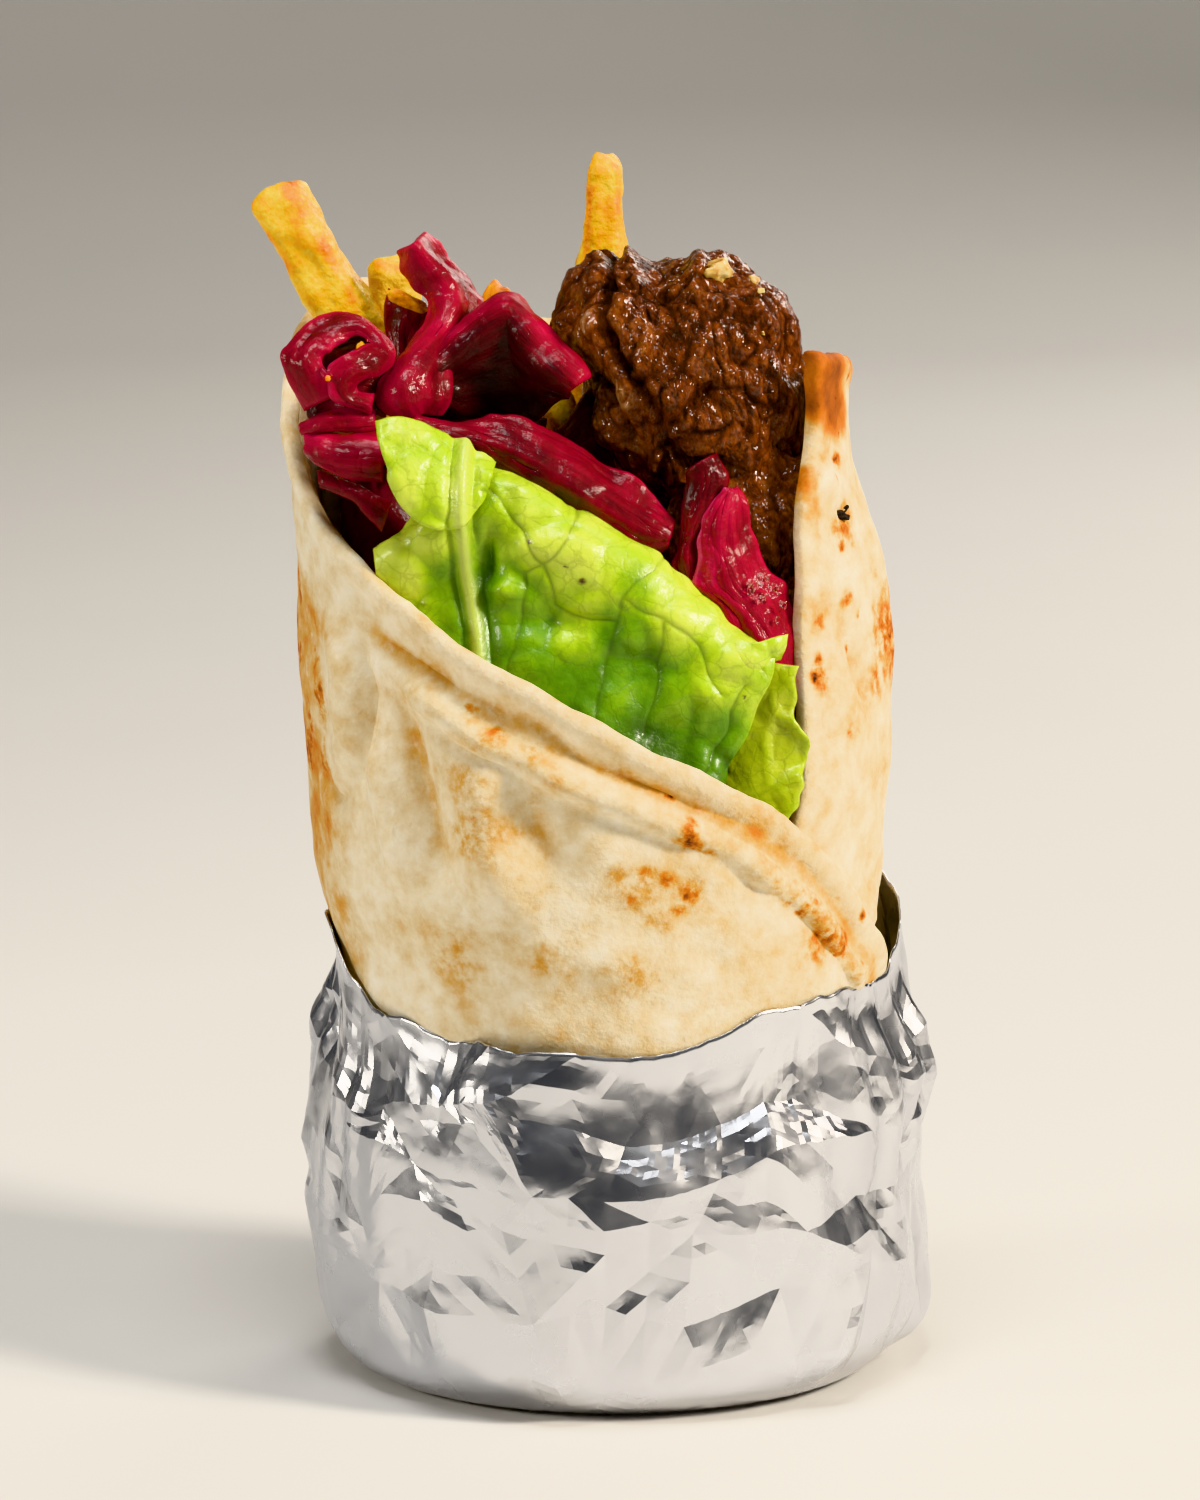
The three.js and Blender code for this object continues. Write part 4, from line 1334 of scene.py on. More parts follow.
# The pale midrib and the larger veins, as routes across the leaf's face: places in X and Z.
LEAF_RIB = [(-18.8, 140), (-19.3, 131.7), (-19.3, 126.6), (-18.6, 120), (-17.1, 112), (-16, 102)]
LEAF_VEINS = [
    [
        (-16.1, 132.1),
        (-13.6, 130.2),
        (-10.4, 125.4),
        (-7.6, 121.9),
        (-10, 120.4),
        (-11.1, 114.1),
        (-12.4, 106),
    ],
    [(-7.6, 121.9), (-4.3, 124.8), (-3.1, 128.7)],
    [(9, 121.6), (4.7, 119), (3.1, 116.8), (2.1, 114.1), (1.1, 109.3), (0.4, 104.9), (-1, 99)],
    [(2.1, 113.8), (-1.4, 114.1), (-6, 116), (-7.6, 121.9)],
    [(3.1, 116.8), (9, 114), (14, 110), (17, 104)],
    [(20, 104.9), (18.1, 101), (17.9, 98.5), (13.9, 93)],
    [(9, 114), (8, 106), (6, 98)],
]

# How wide the rib and the veins are, and the hollow beside the rib, all as half widths.
RIB_HALF = 0.72
VEIN_HALF = 0.32
RIB_HOLLOW_OFF, RIB_HOLLOW_HALF, RIB_HOLLOW_DEPTH = 1.7, 0.7, 0.5

# Hollows and swellings in the leaf, also painted darker and paler as shade and light: place in X and Z,
# reach in X and Z, and rise.
LEAF_HOLLOWS = [
    (-15.4, 121.6, 1.1, 3.4, -2.2),
    (-13.6, 117.8, 2.2, 1.3, 1.3),
    (-6, 113.6, 6.5, 2.2, -1.6),
    (4.5, 108.6, 3.6, 1.8, -1.3),
    (-9, 108, 3.5, 3, 0.9),
    (9.5, 96.5, 5, 4, -1.0),
    (1, 101, 3.5, 3.5, 0.8),
    (14, 104, 3.5, 2.5, 1.0),
    (19.5, 108.5, 2.6, 2.2, 1.2),
    (-5, 124, 5, 2.5, 0.9),
]

# Small brown spots on the leaf: places in X and Z, and radius.
LEAF_SPOTS = [(-9.6, 124.7, 0.42), (-4.6, 121.6, 0.3), (20, 103.4, 0.3), (-2.4, 119.6, 0.6)]


def through(points):
    """A smooth line through places, from 0 at the first to 1 at the last."""
    last = len(points) - 1
    line = smooth_line([(i / last, *point) for i, point in enumerate(points)])
    return lambda share: Vector(line(share))


def leaf_relief(point, size):
    """How far a leaf puffs up between its veins, and how near a vein a place is.

    The puffed cells are of the given size, and smaller ones lie within them."""
    bent = point + 1.6 * Vector([rough(point, 9, seed) for seed in (1, 2, 3)])
    distances, _ = noise.voronoi(bent / size)
    edge = distances[1] - distances[0]
    fine, _ = noise.voronoi(bent / (size * 0.42) + Vector((7, 3, 5)))
    small = fine[1] - fine[0]
    puff = 0.55 * smoothstep(edge, 0.0, 0.5) + 0.08 * smoothstep(small, 0.0, 0.5)
    vein = max(0.4 * hump(edge, 0.03), 0.22 * hump(small, 0.035))
    return puff, vein


# Fresh lettuce: thin waxy leaf full of water. It is painted paler lime green towards its rolled top and on
# its swellings as a painted light, and deeper green in its hollows as a painted shade; it is pale along the
# rib, and each vein is a fine darker line. A thin coat of wax gives it a soft shine that its small cells
# ruffle.
lettuce_fresh, tree = new_material("fresh_lettuce")
place = add(tree, "ShaderNodeTexCoord").outputs["Object"]
veined = add(tree, "ShaderNodeAttribute", attribute_name="vein").outputs["Fac"]
ribbed = add(tree, "ShaderNodeAttribute", attribute_name="rib").outputs["Fac"]
# The light attribute is painted light and shade: paler on the rolled top and the swellings, deeper green in
# the hollows.
lit = add(tree, "ShaderNodeAttribute", attribute_name="light").outputs["Fac"]
yellowed = add(tree, "ShaderNodeAttribute", attribute_name="yellow").outputs["Fac"]
spotted = add(tree, "ShaderNodeAttribute", attribute_name="spot").outputs["Fac"]
cloudy = add(
    tree,
    "ShaderNodeTexNoise",
    {"Vector": place, "Scale": per(7), "Detail": 6.0, "Roughness": 0.6},
)
cells = add(tree, "ShaderNodeTexNoise", {"Vector": place, "Scale": per(0.8), "Detail": 3.0})
tone = add(tree, "ShaderNodeMath", {0: cloudy.outputs[0], 1: 0.9, 2: lit}, operation="MULTIPLY_ADD")
blade = add(
    tree,
    "ShaderNodeValToRGB",
    {0: tone.outputs[0]},
    stops=[(0.1, "#315a00"), (0.34, "#578904"), (0.55, "#7ea80d"), (0.76, "#a9c62a"), (1.0, "#c9d955")],
)
aged = add(
    tree,
    "ShaderNodeMix",
    {0: yellowed, 6: blade.outputs[0], 7: colour("#a5ae0c")},
    data_type="RGBA",
)
swayed = add(
    tree,
    "ShaderNodeVectorMath",
    {0: cloudy.outputs[1], 1: (5 * MM, 5 * MM, 5 * MM), 2: place},
    operation="MULTIPLY_ADD",
)
branched = add(
    tree,
    "ShaderNodeTexVoronoi",
    {"Vector": swayed.outputs[0], "Scale": per(3.4)},
    feature="DISTANCE_TO_EDGE",
)
fine = add(
    tree,
    "ShaderNodeMapRange",
    {"Value": branched.outputs[0], "From Max": 0.07, "To Min": 0.34, "To Max": 0.0},
)
both = add(tree, "ShaderNodeMath", {0: fine.outputs[0], 1: veined}, operation="MAXIMUM")
lined = add(tree, "ShaderNodeMath", {0: both.outputs[0], 1: 0.65}, operation="MULTIPLY")
drawn = add(
    tree,
    "ShaderNodeMix",
    {0: lined.outputs[0], 6: aged.outputs[2], 7: colour("#365502")},
    data_type="RGBA",
)
striped = add(
    tree,
    "ShaderNodeMix",
    {0: ribbed, 6: drawn.outputs[2], 7: colour("#c2d068")},
    data_type="RGBA",
)
surface = add(
    tree,
    "ShaderNodeMix",
    {0: spotted, 6: striped.outputs[2], 7: colour("#4a2c0c")},
    data_type="RGBA",
)
netted = add(tree, "ShaderNodeTexVoronoi", {"Vector": place, "Scale": per(1.7)}, feature="DISTANCE_TO_EDGE")
low = add(
    tree,
    "ShaderNodeMath",
    {0: fine.outputs[0], 1: -0.7, 2: cells.outputs[0]},
    operation="MULTIPLY_ADD",
)
relief = add(
    tree,
    "ShaderNodeMath",
    {0: netted.outputs[0], 1: 0.6, 2: low.outputs[0]},
    operation="MULTIPLY_ADD",
)
bump = add(tree, "ShaderNodeBump", {"Height": relief.outputs[0], "Strength": 0.28, "Distance": 0.35 * MM})
waxed = add(tree, "ShaderNodeBump", {"Height": cells.outputs[0], "Strength": 0.3, "Distance": 0.3 * MM})
leafy = add(
    tree,
    "ShaderNodeBsdfPrincipled",
    {
        "Base Color": surface.outputs[2],
        "Roughness": 0.42,
        "Subsurface Weight": 0.22,
        "Subsurface Radius": (0.6, 1.0, 0.15),
        "Subsurface Scale": 1.2 * MM,
        "Coat Weight": 0.25,
        "Coat Roughness": 0.15,
        "Normal": bump.outputs[0],
        "Coat Normal": waxed.outputs[0],
    },
)
add(tree, "ShaderNodeOutputMaterial", {"Surface": leafy.outputs[0]})


LEAF_KEYS = ("vein", "rib", "light", "yellow", "spot")


def new_leaf(name, nodes, columns, rows, place, size, light, frill=0.0, yellow=0.0):
    """A leaf over the surface place(u, v), puffed between its veins and frilled at its edges."""
    bm, corners = new_sheet(columns, rows, *LEAF_KEYS)
    vein, rib, lit, aged, spot = [bm.verts.layers.float[key] for key in LEAF_KEYS]
    thickness_layer = bm.verts.layers.deform.verify()
    for vert, u, v in corners:
        vert.co = place(u, v)
    bm.normal_update()
    for vert, u, v in corners:
        point = vert.co.copy()
        puff, netted = leaf_relief(point, size)

        # The rib and the veins.
        from_rib = from_route(point.x, point.z, LEAF_RIB)
        swayed = point + 0.9 * Vector((rough(point, 4, 7), 0, rough(point, 4, 8)))
        from_vein = min(from_route(swayed.x, swayed.z, route) for route in LEAF_VEINS)
        edge = min(u, 1 - u, v, 1 - v)
        vert[rib] = 0.85 * hump(from_rib, RIB_HALF)
        vert[vein] = max(0.8 * hump(from_vein, VEIN_HALF), 0.6 * netted) * (1 - vert[rib])

        # The rib stands up, the blade puffs up between its veins, and its edges are frilled.
        near_rib = hump(from_rib, 1.9)
        lift = puff * (1 - near_rib) + 0.9 * hump(from_rib, 0.75) - 0.25 * hump(from_vein, 0.5)
        lift -= RIB_HOLLOW_DEPTH * hump(from_rib - RIB_HOLLOW_OFF, RIB_HOLLOW_HALF)
        lift += frill * rough(point, 4.5, 6) * (1 - smoothstep(edge, 0, 0.14))
        lift += 0.9 * rough(point, 15, 5)

        # Its hollows are painted deeper green as a painted shade, and its swellings paler as a painted
        # light.
        dented = 0
        for x, z, reach_x, reach_z, rise in LEAF_HOLLOWS:
            dented += rise * hump(math.hypot((point.x - x) / reach_x, (point.z - z) / reach_z), 1)
        lift += dented
        shifted = v + 0.2 * rough(point, 9, 9) + 0.05 * rough(point, 3, 10)
        vert[lit] = light(u, shifted) + 0.2 * (puff - 0.4) + 0.12 * dented
        vert[aged] = yellow

        vert[spot] = 0
        for x, z, radius in LEAF_SPOTS:
            away = math.hypot(point.x - x, point.z - z)
            vert[spot] = max(vert[spot], 1 - smoothstep(away, 0.5 * radius, radius))
        vert.co = point + vert.normal * lift
        vert[thickness_layer][0] = smoothstep(edge, 0, 0.03)
    leaf = new_piece(name, bm, lettuce_fresh, nodes)
    thicken(leaf, LEAF_SHEET, LEAF_EDGE_SHARE)


leaf_top = through(LEAF_ROLLED_EDGE)


def leaf_foot(share):
    """A place on the leaf's foot, against the inside of the flap."""
    degrees = lerp(LEAF_FROM, LEAF_TO, share)
    room = BREAD_THICKNESS + GAP + LEAF_ROOM - layer_offset(degrees + 360)
    return on_wrap(degrees, bread_edge(degrees + 360) - LEAF_DEPTH, room)


# The leaf's length along the flap, and how ragged its top is, as waves of height, size and seed.
LEAF_LENGTH = 58
LEAF_RAGGED = [(0.9, 7, 2), (0.35, 2.4, 3)]


def leaf_place(u, v):
    """The leaf stands against the flap, leans in towards its top and rolls over there."""
    ragged = lumpy(Vector((u * LEAF_LENGTH, 0, 0)), LEAF_RAGGED)
    foot = leaf_foot(u)
    top = leaf_top(u) + Vector((0, 0, ragged))
    point = foot.lerp(top, v)
    swell = 2.4 * math.sin(math.pi * min(v * 1.05, 1))
    belly = swell - 1.6 * hump(v - 0.5, 0.2) + 1.6 * hump(v - 0.84, 0.12)
    roll = smoothstep(v, 0.9, 1)
    frayed = 1.6 * rough(Vector((0, v * 30, 4)), 5, 5) * smoothstep(u, 0.88, 1)
    point.x += frayed - 1.2 * smoothstep(u, 0.9, 1) * (1 - v)
    forward = -0.9 * belly + 2.6 * roll * roll
    return point + Vector((0.1 * belly, forward, 0.3 * belly - 1.2 * roll * roll))


def leaf_light(u, v):
    """Painted light and shade: paler towards the rolled top, deeper green below it and towards the bottom
    right.
    """
    deeper = 0.14 * smoothstep(u, 0.4, 0.8) * (1 - smoothstep(v, 0.3, 0.7))
    return -0.04 + 0.5 * smoothstep(v, 0.5, 0.84) - deeper


new_leaf("lettuce_leaf_lining", ["lettuce_leaf"], 210, 165, leaf_place, 8.5, leaf_light)

# The tip of the same leaf, folded forward at the left: its lower edge, then its upper edge.
tip_near = through([
    (-29.5, -27.6, 134),
    (-27, -28.6, 129.2),
    (-23, -29, 126.8),
    (-18.5, -28.6, 127.5),
    (-15.2, -25.6, 132),
])
tip_far = through([
    (-31.2, -24, 141.2),
    (-27, -23, 141),
    (-23, -22.3, 139.6),
    (-19.5, -22, 138),
    (-14.5, -22.4, 135),
])


def tip_place(u, v):
    """The folded tip swells forward between its edges."""
    point = tip_near(u).lerp(tip_far(u), v)
    swell = 1.7 * math.sin(math.pi * v)
    return point + Vector((0, -swell, 0.3 * swell))


new_leaf("lettuce_leaf_tip", [], 90, 70, tip_place, 7.5, lambda u, v: 0.46, 0.4)

# The yellower leaf: its hidden side, then the frilled side that hangs over the bread.
under_near = through([(9, -25.5, 82), (10, -24.8, 92), (12, -24, 102), (17, -23, 108)])
under_far = through([
    (22.6, -30.6, 83),
    (27.2, -29.8, 87.2),
    (28.2, -29, 92),
    (28.9, -28, 96.5),
    (27.2, -27, 101),
    (28, -25.5, 106.8),
])


def under_place(u, v):
    """The yellower leaf grows more frilled towards its free side."""
    point = under_near(u).lerp(under_far(u), v)
    frilled = 1.1 * v * v * rough(Vector((u * 26, v * 14, 0)), 5, 3)
    outward = 0.9 * v * rough(Vector((u * 26, 0, 9)), 2.6, 4)
    return point + Vector((outward, frilled - 0.6 * math.sin(math.pi * v), 0))


new_leaf("lettuce_leaf_under", ["lettuce_under"], 90, 60, under_place, 6.5, lambda u, v: 0.42, 0.8, 0.5)

# The small curl at the right end of the large leaf: its lower edge, then its upper edge.
curl_near = through([(17.5, -26.4, 107.4), (20.2, -27.2, 106.9), (22.8, -27, 107.6), (25.3, -26, 108)])
curl_far = through([(17.6, -26.4, 111.2), (20.6, -28.4, 110.6), (23.2, -28.6, 111.3), (25.9, -26.6, 111.4)])


def curl_place(u, v):
    """The curl bulges forward, and its upper edge is uneven."""
    point = curl_near(u).lerp(curl_far(u), v)
    uneven = 0.5 * v * rough(Vector((u * 12, 0, 5)), 2.4, 1)
    return point + Vector((0, -0.9 * math.sin(math.pi * v), uneven))


new_leaf("lettuce_leaf_curl", [], 70, 40, curl_place, 5, lambda u, v: 0.5, 0.4)


# ---- Pickled red cabbage ----
# Strips of red cabbage leaf, cut with a knife and pickled until limp. They curl and fold over each
# other, wet with pickling juice, with thin paler cut edges.

# Each strip: its thickness, how ragged it is, and its rails. A rail runs along the strip and says how dark
# or pale it is painted there, then its places. The square's lower rails, on the face that turns down, and
# the point's rails are painted shade. The last four show between the others: dark strips whose darkness is
# painted shade in the shaded gaps.
CABBAGE_STRIPS = {
    "cabbage_curl": (1.2, 0.7, [
        (0.06, [
            (-41.4, -15, 141), (-43.1, -14.5, 144.6), (-44.2, -13.5, 147.8), (-43.7, -12.5, 149.5),
            (-42.1, -11, 151.4), (-39.8, -9.5, 152.9), (-36.7, -8.5, 153.5), (-33.6, -8.5, 153.2),
            (-31.2, -9.5, 151.5), (-29.2, -11, 149.4), (-28.8, -13, 147.4), (-30.5, -15.5, 146.3),
            (-32.6, -16.5, 145.9), (-34, -17, 145), (-33.6, -17, 144.2), (-31.4, -16, 143.7),
        ]),
        (-0.05, [
            (-39.1, -17.6, 142.6), (-40.6, -17.2, 145.4), (-41.5, -16.2, 147.8), (-41.3, -15, 149.4),
            (-40.1, -13.6, 150.9), (-38.3, -12.4, 152), (-36, -11.4, 152.4), (-33.6, -11.2, 152.4),
            (-31.7, -12, 151), (-30.6, -13.6, 149.6), (-31, -15.8, 148.7), (-33, -18, 147.8),
            (-35.2, -19, 146.9), (-35.8, -19.2, 144.9), (-34.9, -19.2, 143.4), (-31.7, -18.4, 142.2),
        ]),
        (0.1, [
            (-36.4, -18, 143.9), (-37.7, -17.5, 146.2), (-38.6, -16.5, 147.9), (-38.6, -15.5, 149.4),
            (-37.6, -14.5, 150.2), (-36.2, -13, 150.6), (-34.8, -12, 151), (-33.6, -12, 151.1),
            (-32.3, -12.5, 150.2), (-32.6, -14, 149.7), (-34.5, -16.5, 149.6), (-36.7, -18, 148.8),
            (-38.2, -18.5, 147.1), (-37.7, -18.5, 144.7), (-36.2, -18.5, 142.8), (-31.9, -17.5, 140.8),
        ]),
    ]),
    "cabbage_tall": (1.3, 0.7, [
        (0.0, [
            (-28.3, 1, 161.5), (-28.2, 1, 158.8), (-27.1, 0, 157.1), (-25.5, -1, 155.6),
            (-24, -3, 154.3), (-24.3, -5, 152.3), (-26, -8, 150), (-28.1, -11, 147.7),
            (-30.5, -13, 145), (-31.4, -14, 142.5), (-29.5, -14, 140.6),
        ]),
        (0.08, [
            (-26.4, -1.5, 162.7), (-24.8, -2, 160.8), (-23.1, -2.5, 158.5), (-21.4, -3.5, 156.1),
            (-21.2, -5.5, 154.1), (-22.2, -8, 152), (-24, -11.5, 150.1), (-25.8, -14.5, 147.8),
            (-27.4, -16.8, 145.4), (-27.7, -17.3, 143.1), (-26.2, -15.5, 140.9),
        ]),
        (-0.12, [
            (-25.8, 2, 163), (-23.6, 2, 160.8), (-21.5, 1.5, 158.2), (-19.6, 0.5, 155.8),
            (-18.6, -1.5, 153.9), (-19.4, -4.5, 152.1), (-21.4, -8, 150.2), (-23, -12, 148),
            (-23.6, -14.5, 145.4), (-23.4, -15.5, 143), (-24.2, -14.5, 140.4),
        ]),
        (0.05, [
            (-25.3, 5, 163), (-22.4, 5, 160.6), (-20, 4.5, 157.5), (-17.9, 4, 155.3),
            (-16.4, 2, 153.5), (-17.2, -1, 152), (-19.3, -4.5, 150.2), (-21.2, -9, 148.3),
            (-21, -12, 145.5), (-20.4, -13.5, 142.9), (-22.4, -13.5, 140.1),
        ]),
    ]),
    "cabbage_square": (1.5, 0.35, [
        (-0.5, [
            (-22.4, -11, 141.9), (-20, -9.5, 139.7), (-17.6, -8.5, 139.2), (-14.8, -8, 138.8),
            (-12.4, -8, 138.4), (-10, -8.5, 138.4), (-8.3, -9.5, 139.1), (-7.1, -11, 140.7),
            (-5.7, -12, 141.9), (-4.3, -13, 142.6),
        ]),
        (-0.42, [
            (-23.1, -12.5, 144.9), (-20.5, -10.5, 144.9), (-17.9, -9.5, 146.2), (-15.5, -9, 146.8),
            (-13.6, -9, 147.3), (-11.9, -9, 146.8), (-10.2, -10, 145.6), (-8.3, -11.5, 144.7),
            (-6.4, -13, 144), (-4.3, -14, 143.4),
        ]),
        (-0.24, [
            (-23.8, -13.4, 146.4), (-21.4, -12.1, 148.1), (-18.8, -11.2, 150.1), (-16.3, -10.4, 151.8),
            (-13.8, -9.9, 153.1), (-12.5, -9.9, 152.6), (-10.7, -11.4, 150.5), (-8.6, -12.8, 148.4),
            (-6.2, -14.2, 146.3), (-3.6, -14.8, 144.2),
        ]),
        (0.08, [
            (-24, -12.5, 147.1), (-22.1, -11, 148.9), (-19.4, -9.7, 151.2), (-16.4, -8.8, 153.5),
            (-13.4, -8.3, 155.3), (-11.7, -8.3, 154.6), (-9.6, -9.7, 152.4), (-7.1, -11.2, 149.9),
            (-4.5, -13, 147.6), (-2.3, -14, 145),
        ]),
        (0.02, [
            (-24.3, -11, 147.2), (-22.6, -9, 149.3), (-19.8, -6.5, 151.4), (-16.7, -5, 153.9),
            (-13.4, -4.5, 155.6), (-11, -4.5, 155.1), (-8.8, -6.5, 152.7), (-6, -8.5, 150.2),
            (-3.2, -11, 147.8), (-1.5, -12.5, 145.2),
        ]),
    ]),
    "cabbage_band": (1.3, 0.6, [
        (-0.34, [
            (-25.7, -18.5, 137.7), (-21.4, -19, 136.5), (-17.1, -19.5, 134.9), (-12.9, -20, 131.9),
            (-8.6, -20.5, 129.2), (-3.3, -21, 126.1), (1.4, -21.3, 123.1), (5.7, -21.5, 121.1),
            (9.3, -22, 122.3),
        ]),
        (-0.14, [
            (-26, -19, 139.6), (-21.4, -19.5, 138.7), (-17.1, -20, 138), (-12.9, -20.5, 136.6),
            (-8.1, -21, 134.3), (-2.9, -21.5, 131.5), (2.4, -22, 128.4), (6.7, -22.5, 125.8),
            (9.9, -22.5, 124.5),
        ]),
        (-0.06, [
            (-26.2, -15.5, 140.3), (-21.4, -15.5, 139.5), (-17.1, -15.5, 139.6), (-13.8, -15.5, 140.6),
            (-9, -15.5, 139), (-3.3, -16, 136.2), (2.4, -17, 133), (7.1, -18.5, 130.1),
            (10.4, -20, 126.2),
        ]),
    ]),
    "cabbage_strip": (1.2, 0.4, [
        (0.0, [
            (-42.4, -12.5, 138.3), (-40.2, -12.5, 139.5), (-36.7, -12.5, 140.2), (-33.8, -12.5, 140.3),
            (-31.4, -12.5, 140.2),
        ]),
        (0.12, [
            (-42.1, -14.5, 138.8), (-40.1, -16, 139.8), (-36.9, -16.6, 140.7), (-34, -16.6, 140.7),
            (-31.4, -16, 140.6),
        ]),
        (-0.1, [
            (-41.7, -15, 137.6), (-40, -17, 138.1), (-37.1, -17.5, 138.5), (-34.3, -17.5, 138.6),
            (-31.4, -17, 138.6),
        ]),
    ]),
    "cabbage_slab": (1.4, 0.4, [
        (0.1, [
            (-41.4, -15, 137.5), (-39.5, -15.5, 137.8), (-36.2, -15.5, 137.8), (-33.1, -15.5, 137.8),
            (-30.2, -15.5, 137.7),
        ]),
        (0.05, [
            (-41.1, -17.5, 136.7), (-39, -20, 136.6), (-36.2, -21, 136.3), (-33.2, -21, 136.2),
            (-30.2, -20.5, 136.2),
        ]),
        (-0.2, [
            (-40.7, -18, 135.1), (-38.8, -20.5, 134.1), (-36.2, -21.5, 132.9), (-33.3, -21.5, 132.2),
            (-30.2, -21, 131.8),
        ]),
    ]),
    "cabbage_point": (1.1, 0.4, [
        (-0.34, [
            (12.1, -20, 133.2), (11.8, -20.5, 130.3), (11.4, -21, 126.5), (10.7, -21.5, 122.7),
            (10.2, -22, 119.9), (11.4, -22, 116),
        ]),
        (-0.16, [
            (14.3, -21, 135.2), (14.8, -22, 132.5), (14, -22.3, 129.2), (12.9, -22.5, 125.8),
            (12.1, -22.8, 122), (12.9, -22.8, 117.1),
        ]),
        (-0.25, [
            (16.4, -19.5, 136), (17.8, -20, 132.8), (16.7, -20.5, 130), (14.8, -21, 127.5),
            (13.7, -21.5, 123.7), (14, -22, 117.9),
        ]),
    ]),
    "cabbage_tongue": (1.0, 0.9, [
        (0.22, [
            (17.5, -21.5, 131.4), (14.8, -22.5, 127.8), (13.7, -23, 125.4), (13.9, -23.5, 122.6),
            (12.5, -24, 118.8), (14.8, -24.3, 116.7), (17.1, -24.5, 114.1), (19.3, -24.5, 110.9),
            (21.9, -24.3, 106.7), (23.3, -24, 103.8),
        ]),
        (0.1, [
            (18.1, -21.5, 131.2), (17.1, -23, 127.9), (16.9, -24, 124.7), (17.6, -25, 121.5),
            (18.6, -25.3, 118.1), (20.7, -25.5, 115.8), (22.6, -25.3, 112.8), (24, -25, 109.8),
            (25.2, -24.5, 106.3), (26, -24, 102.8),
        ]),
        (0.0, [
            (18.8, -20, 131), (20.6, -20.5, 128.2), (21.3, -21, 125.3), (22, -21, 122.5),
            (23.9, -21, 119.3), (26, -21, 117.1), (27.2, -20.5, 114.2), (28.7, -20, 111.4),
            (29.1, -20, 107.8), (29, -20, 103.4),
        ]),
    ]),
    "cabbage_slice": (1.2, 0.3, [
        (-0.05, [
            (-30, 6.5, 155), (-30.7, 5, 152.6), (-30.6, 4, 149.9), (-29.4, 2, 147.4),
            (-28.5, 1, 144.7),
        ]),
        (-0.12, [
            (-26.8, 5, 153.8), (-27, 4, 151.2), (-27.6, 3, 149.2), (-27.9, 1.6, 147),
            (-28.1, 0.8, 144.7),
        ]),
        (-0.1, [
            (-23.4, 5, 152), (-23.2, 4, 150.1), (-24.5, 3, 148.2), (-26.2, 2, 146.4),
            (-27.7, 1, 144.7),
        ]),
    ]),
    "cabbage_behind": (1.2, 0.6, [
        (-0.1, [
            (-42, -8, 144), (-40, -6.5, 150.4), (-36, -6, 152.2), (-32, -6.5, 151.8),
            (-29.5, -8.5, 148.5),
        ]),
        (-0.2, [
            (-41.5, -11, 141.5), (-39.5, -11.5, 146), (-36, -12.3, 147.5), (-32.5, -12.3, 147.2),
            (-30, -12, 145),
        ]),
        (-0.2, [
            (-40.5, -14, 138.5), (-38.5, -14.5, 140), (-35.5, -14.5, 140.5), (-32.5, -14.5, 140.5),
            (-30, -14, 140),
        ]),
    ]),
    "cabbage_deep": (1.2, 0.5, [
        (-0.35, [(-26, -7, 141.5), (-18, -6, 140), (-12, -5.5, 138.8), (-7.5, -6.5, 138.5)]),
        (-0.4, [(-26, -10, 136.5), (-18, -10, 136), (-12, -10, 135.5), (-7.8, -10, 135.5)]),
        (-0.4, [(-26, -13, 132), (-18, -13, 131), (-12, -13, 130), (-7, -13, 129)]),
    ]),
    "cabbage_gap": (1.2, 0.5, [
        (-0.3, [
            (-8.5, -5, 136.2), (-5.5, -5, 136.8), (-3.6, -5, 139.5), (-2.2, -4.5, 142),
            (0.5, -3.5, 143),
        ]),
        (-0.35, [(-8.5, -6.5, 133.5), (-5, -6.5, 133.8), (-3, -6.5, 135), (-1, -6, 136), (1.5, -5, 136)]),
        (-0.4, [(-8.5, -8, 130), (-5, -8, 130), (-2.5, -8, 129.5), (0, -7.5, 129), (2.5, -7, 128.5)]),
    ]),
    "cabbage_low": (1.2, 0.4, [
        (-0.1, [
            (-39.4, -18.5, 132.8), (-36.7, -19.5, 132.5), (-33.8, -20.5, 131.8), (-31.4, -21, 130.4),
            (-29, -21, 129.4),
        ]),
        (-0.15, [
            (-39.2, -20, 132), (-36.6, -21.4, 131.6), (-34, -22, 130.7), (-31.9, -22.2, 129),
            (-29.7, -22, 127.2),
        ]),
        (-0.3, [
            (-39, -20, 131.2), (-36.7, -21, 130.3), (-34.3, -21.5, 129.3), (-32.4, -22, 127.5),
            (-30.5, -21.5, 125.1),
        ]),
    ]),
}

# Pickled cabbage: limp leaf soaked with dye. The flesh is clear enough for light to glow in it,
# streaked along its fibres, with paler cut edges and a wet skin of juice.
cabbage_pickled, tree = new_material("pickled_red_cabbage")
place = add(tree, "ShaderNodeTexCoord").outputs["Object"]
length_wise = add(tree, "ShaderNodeUVMap", uv_map="UVMap").outputs["UV"]
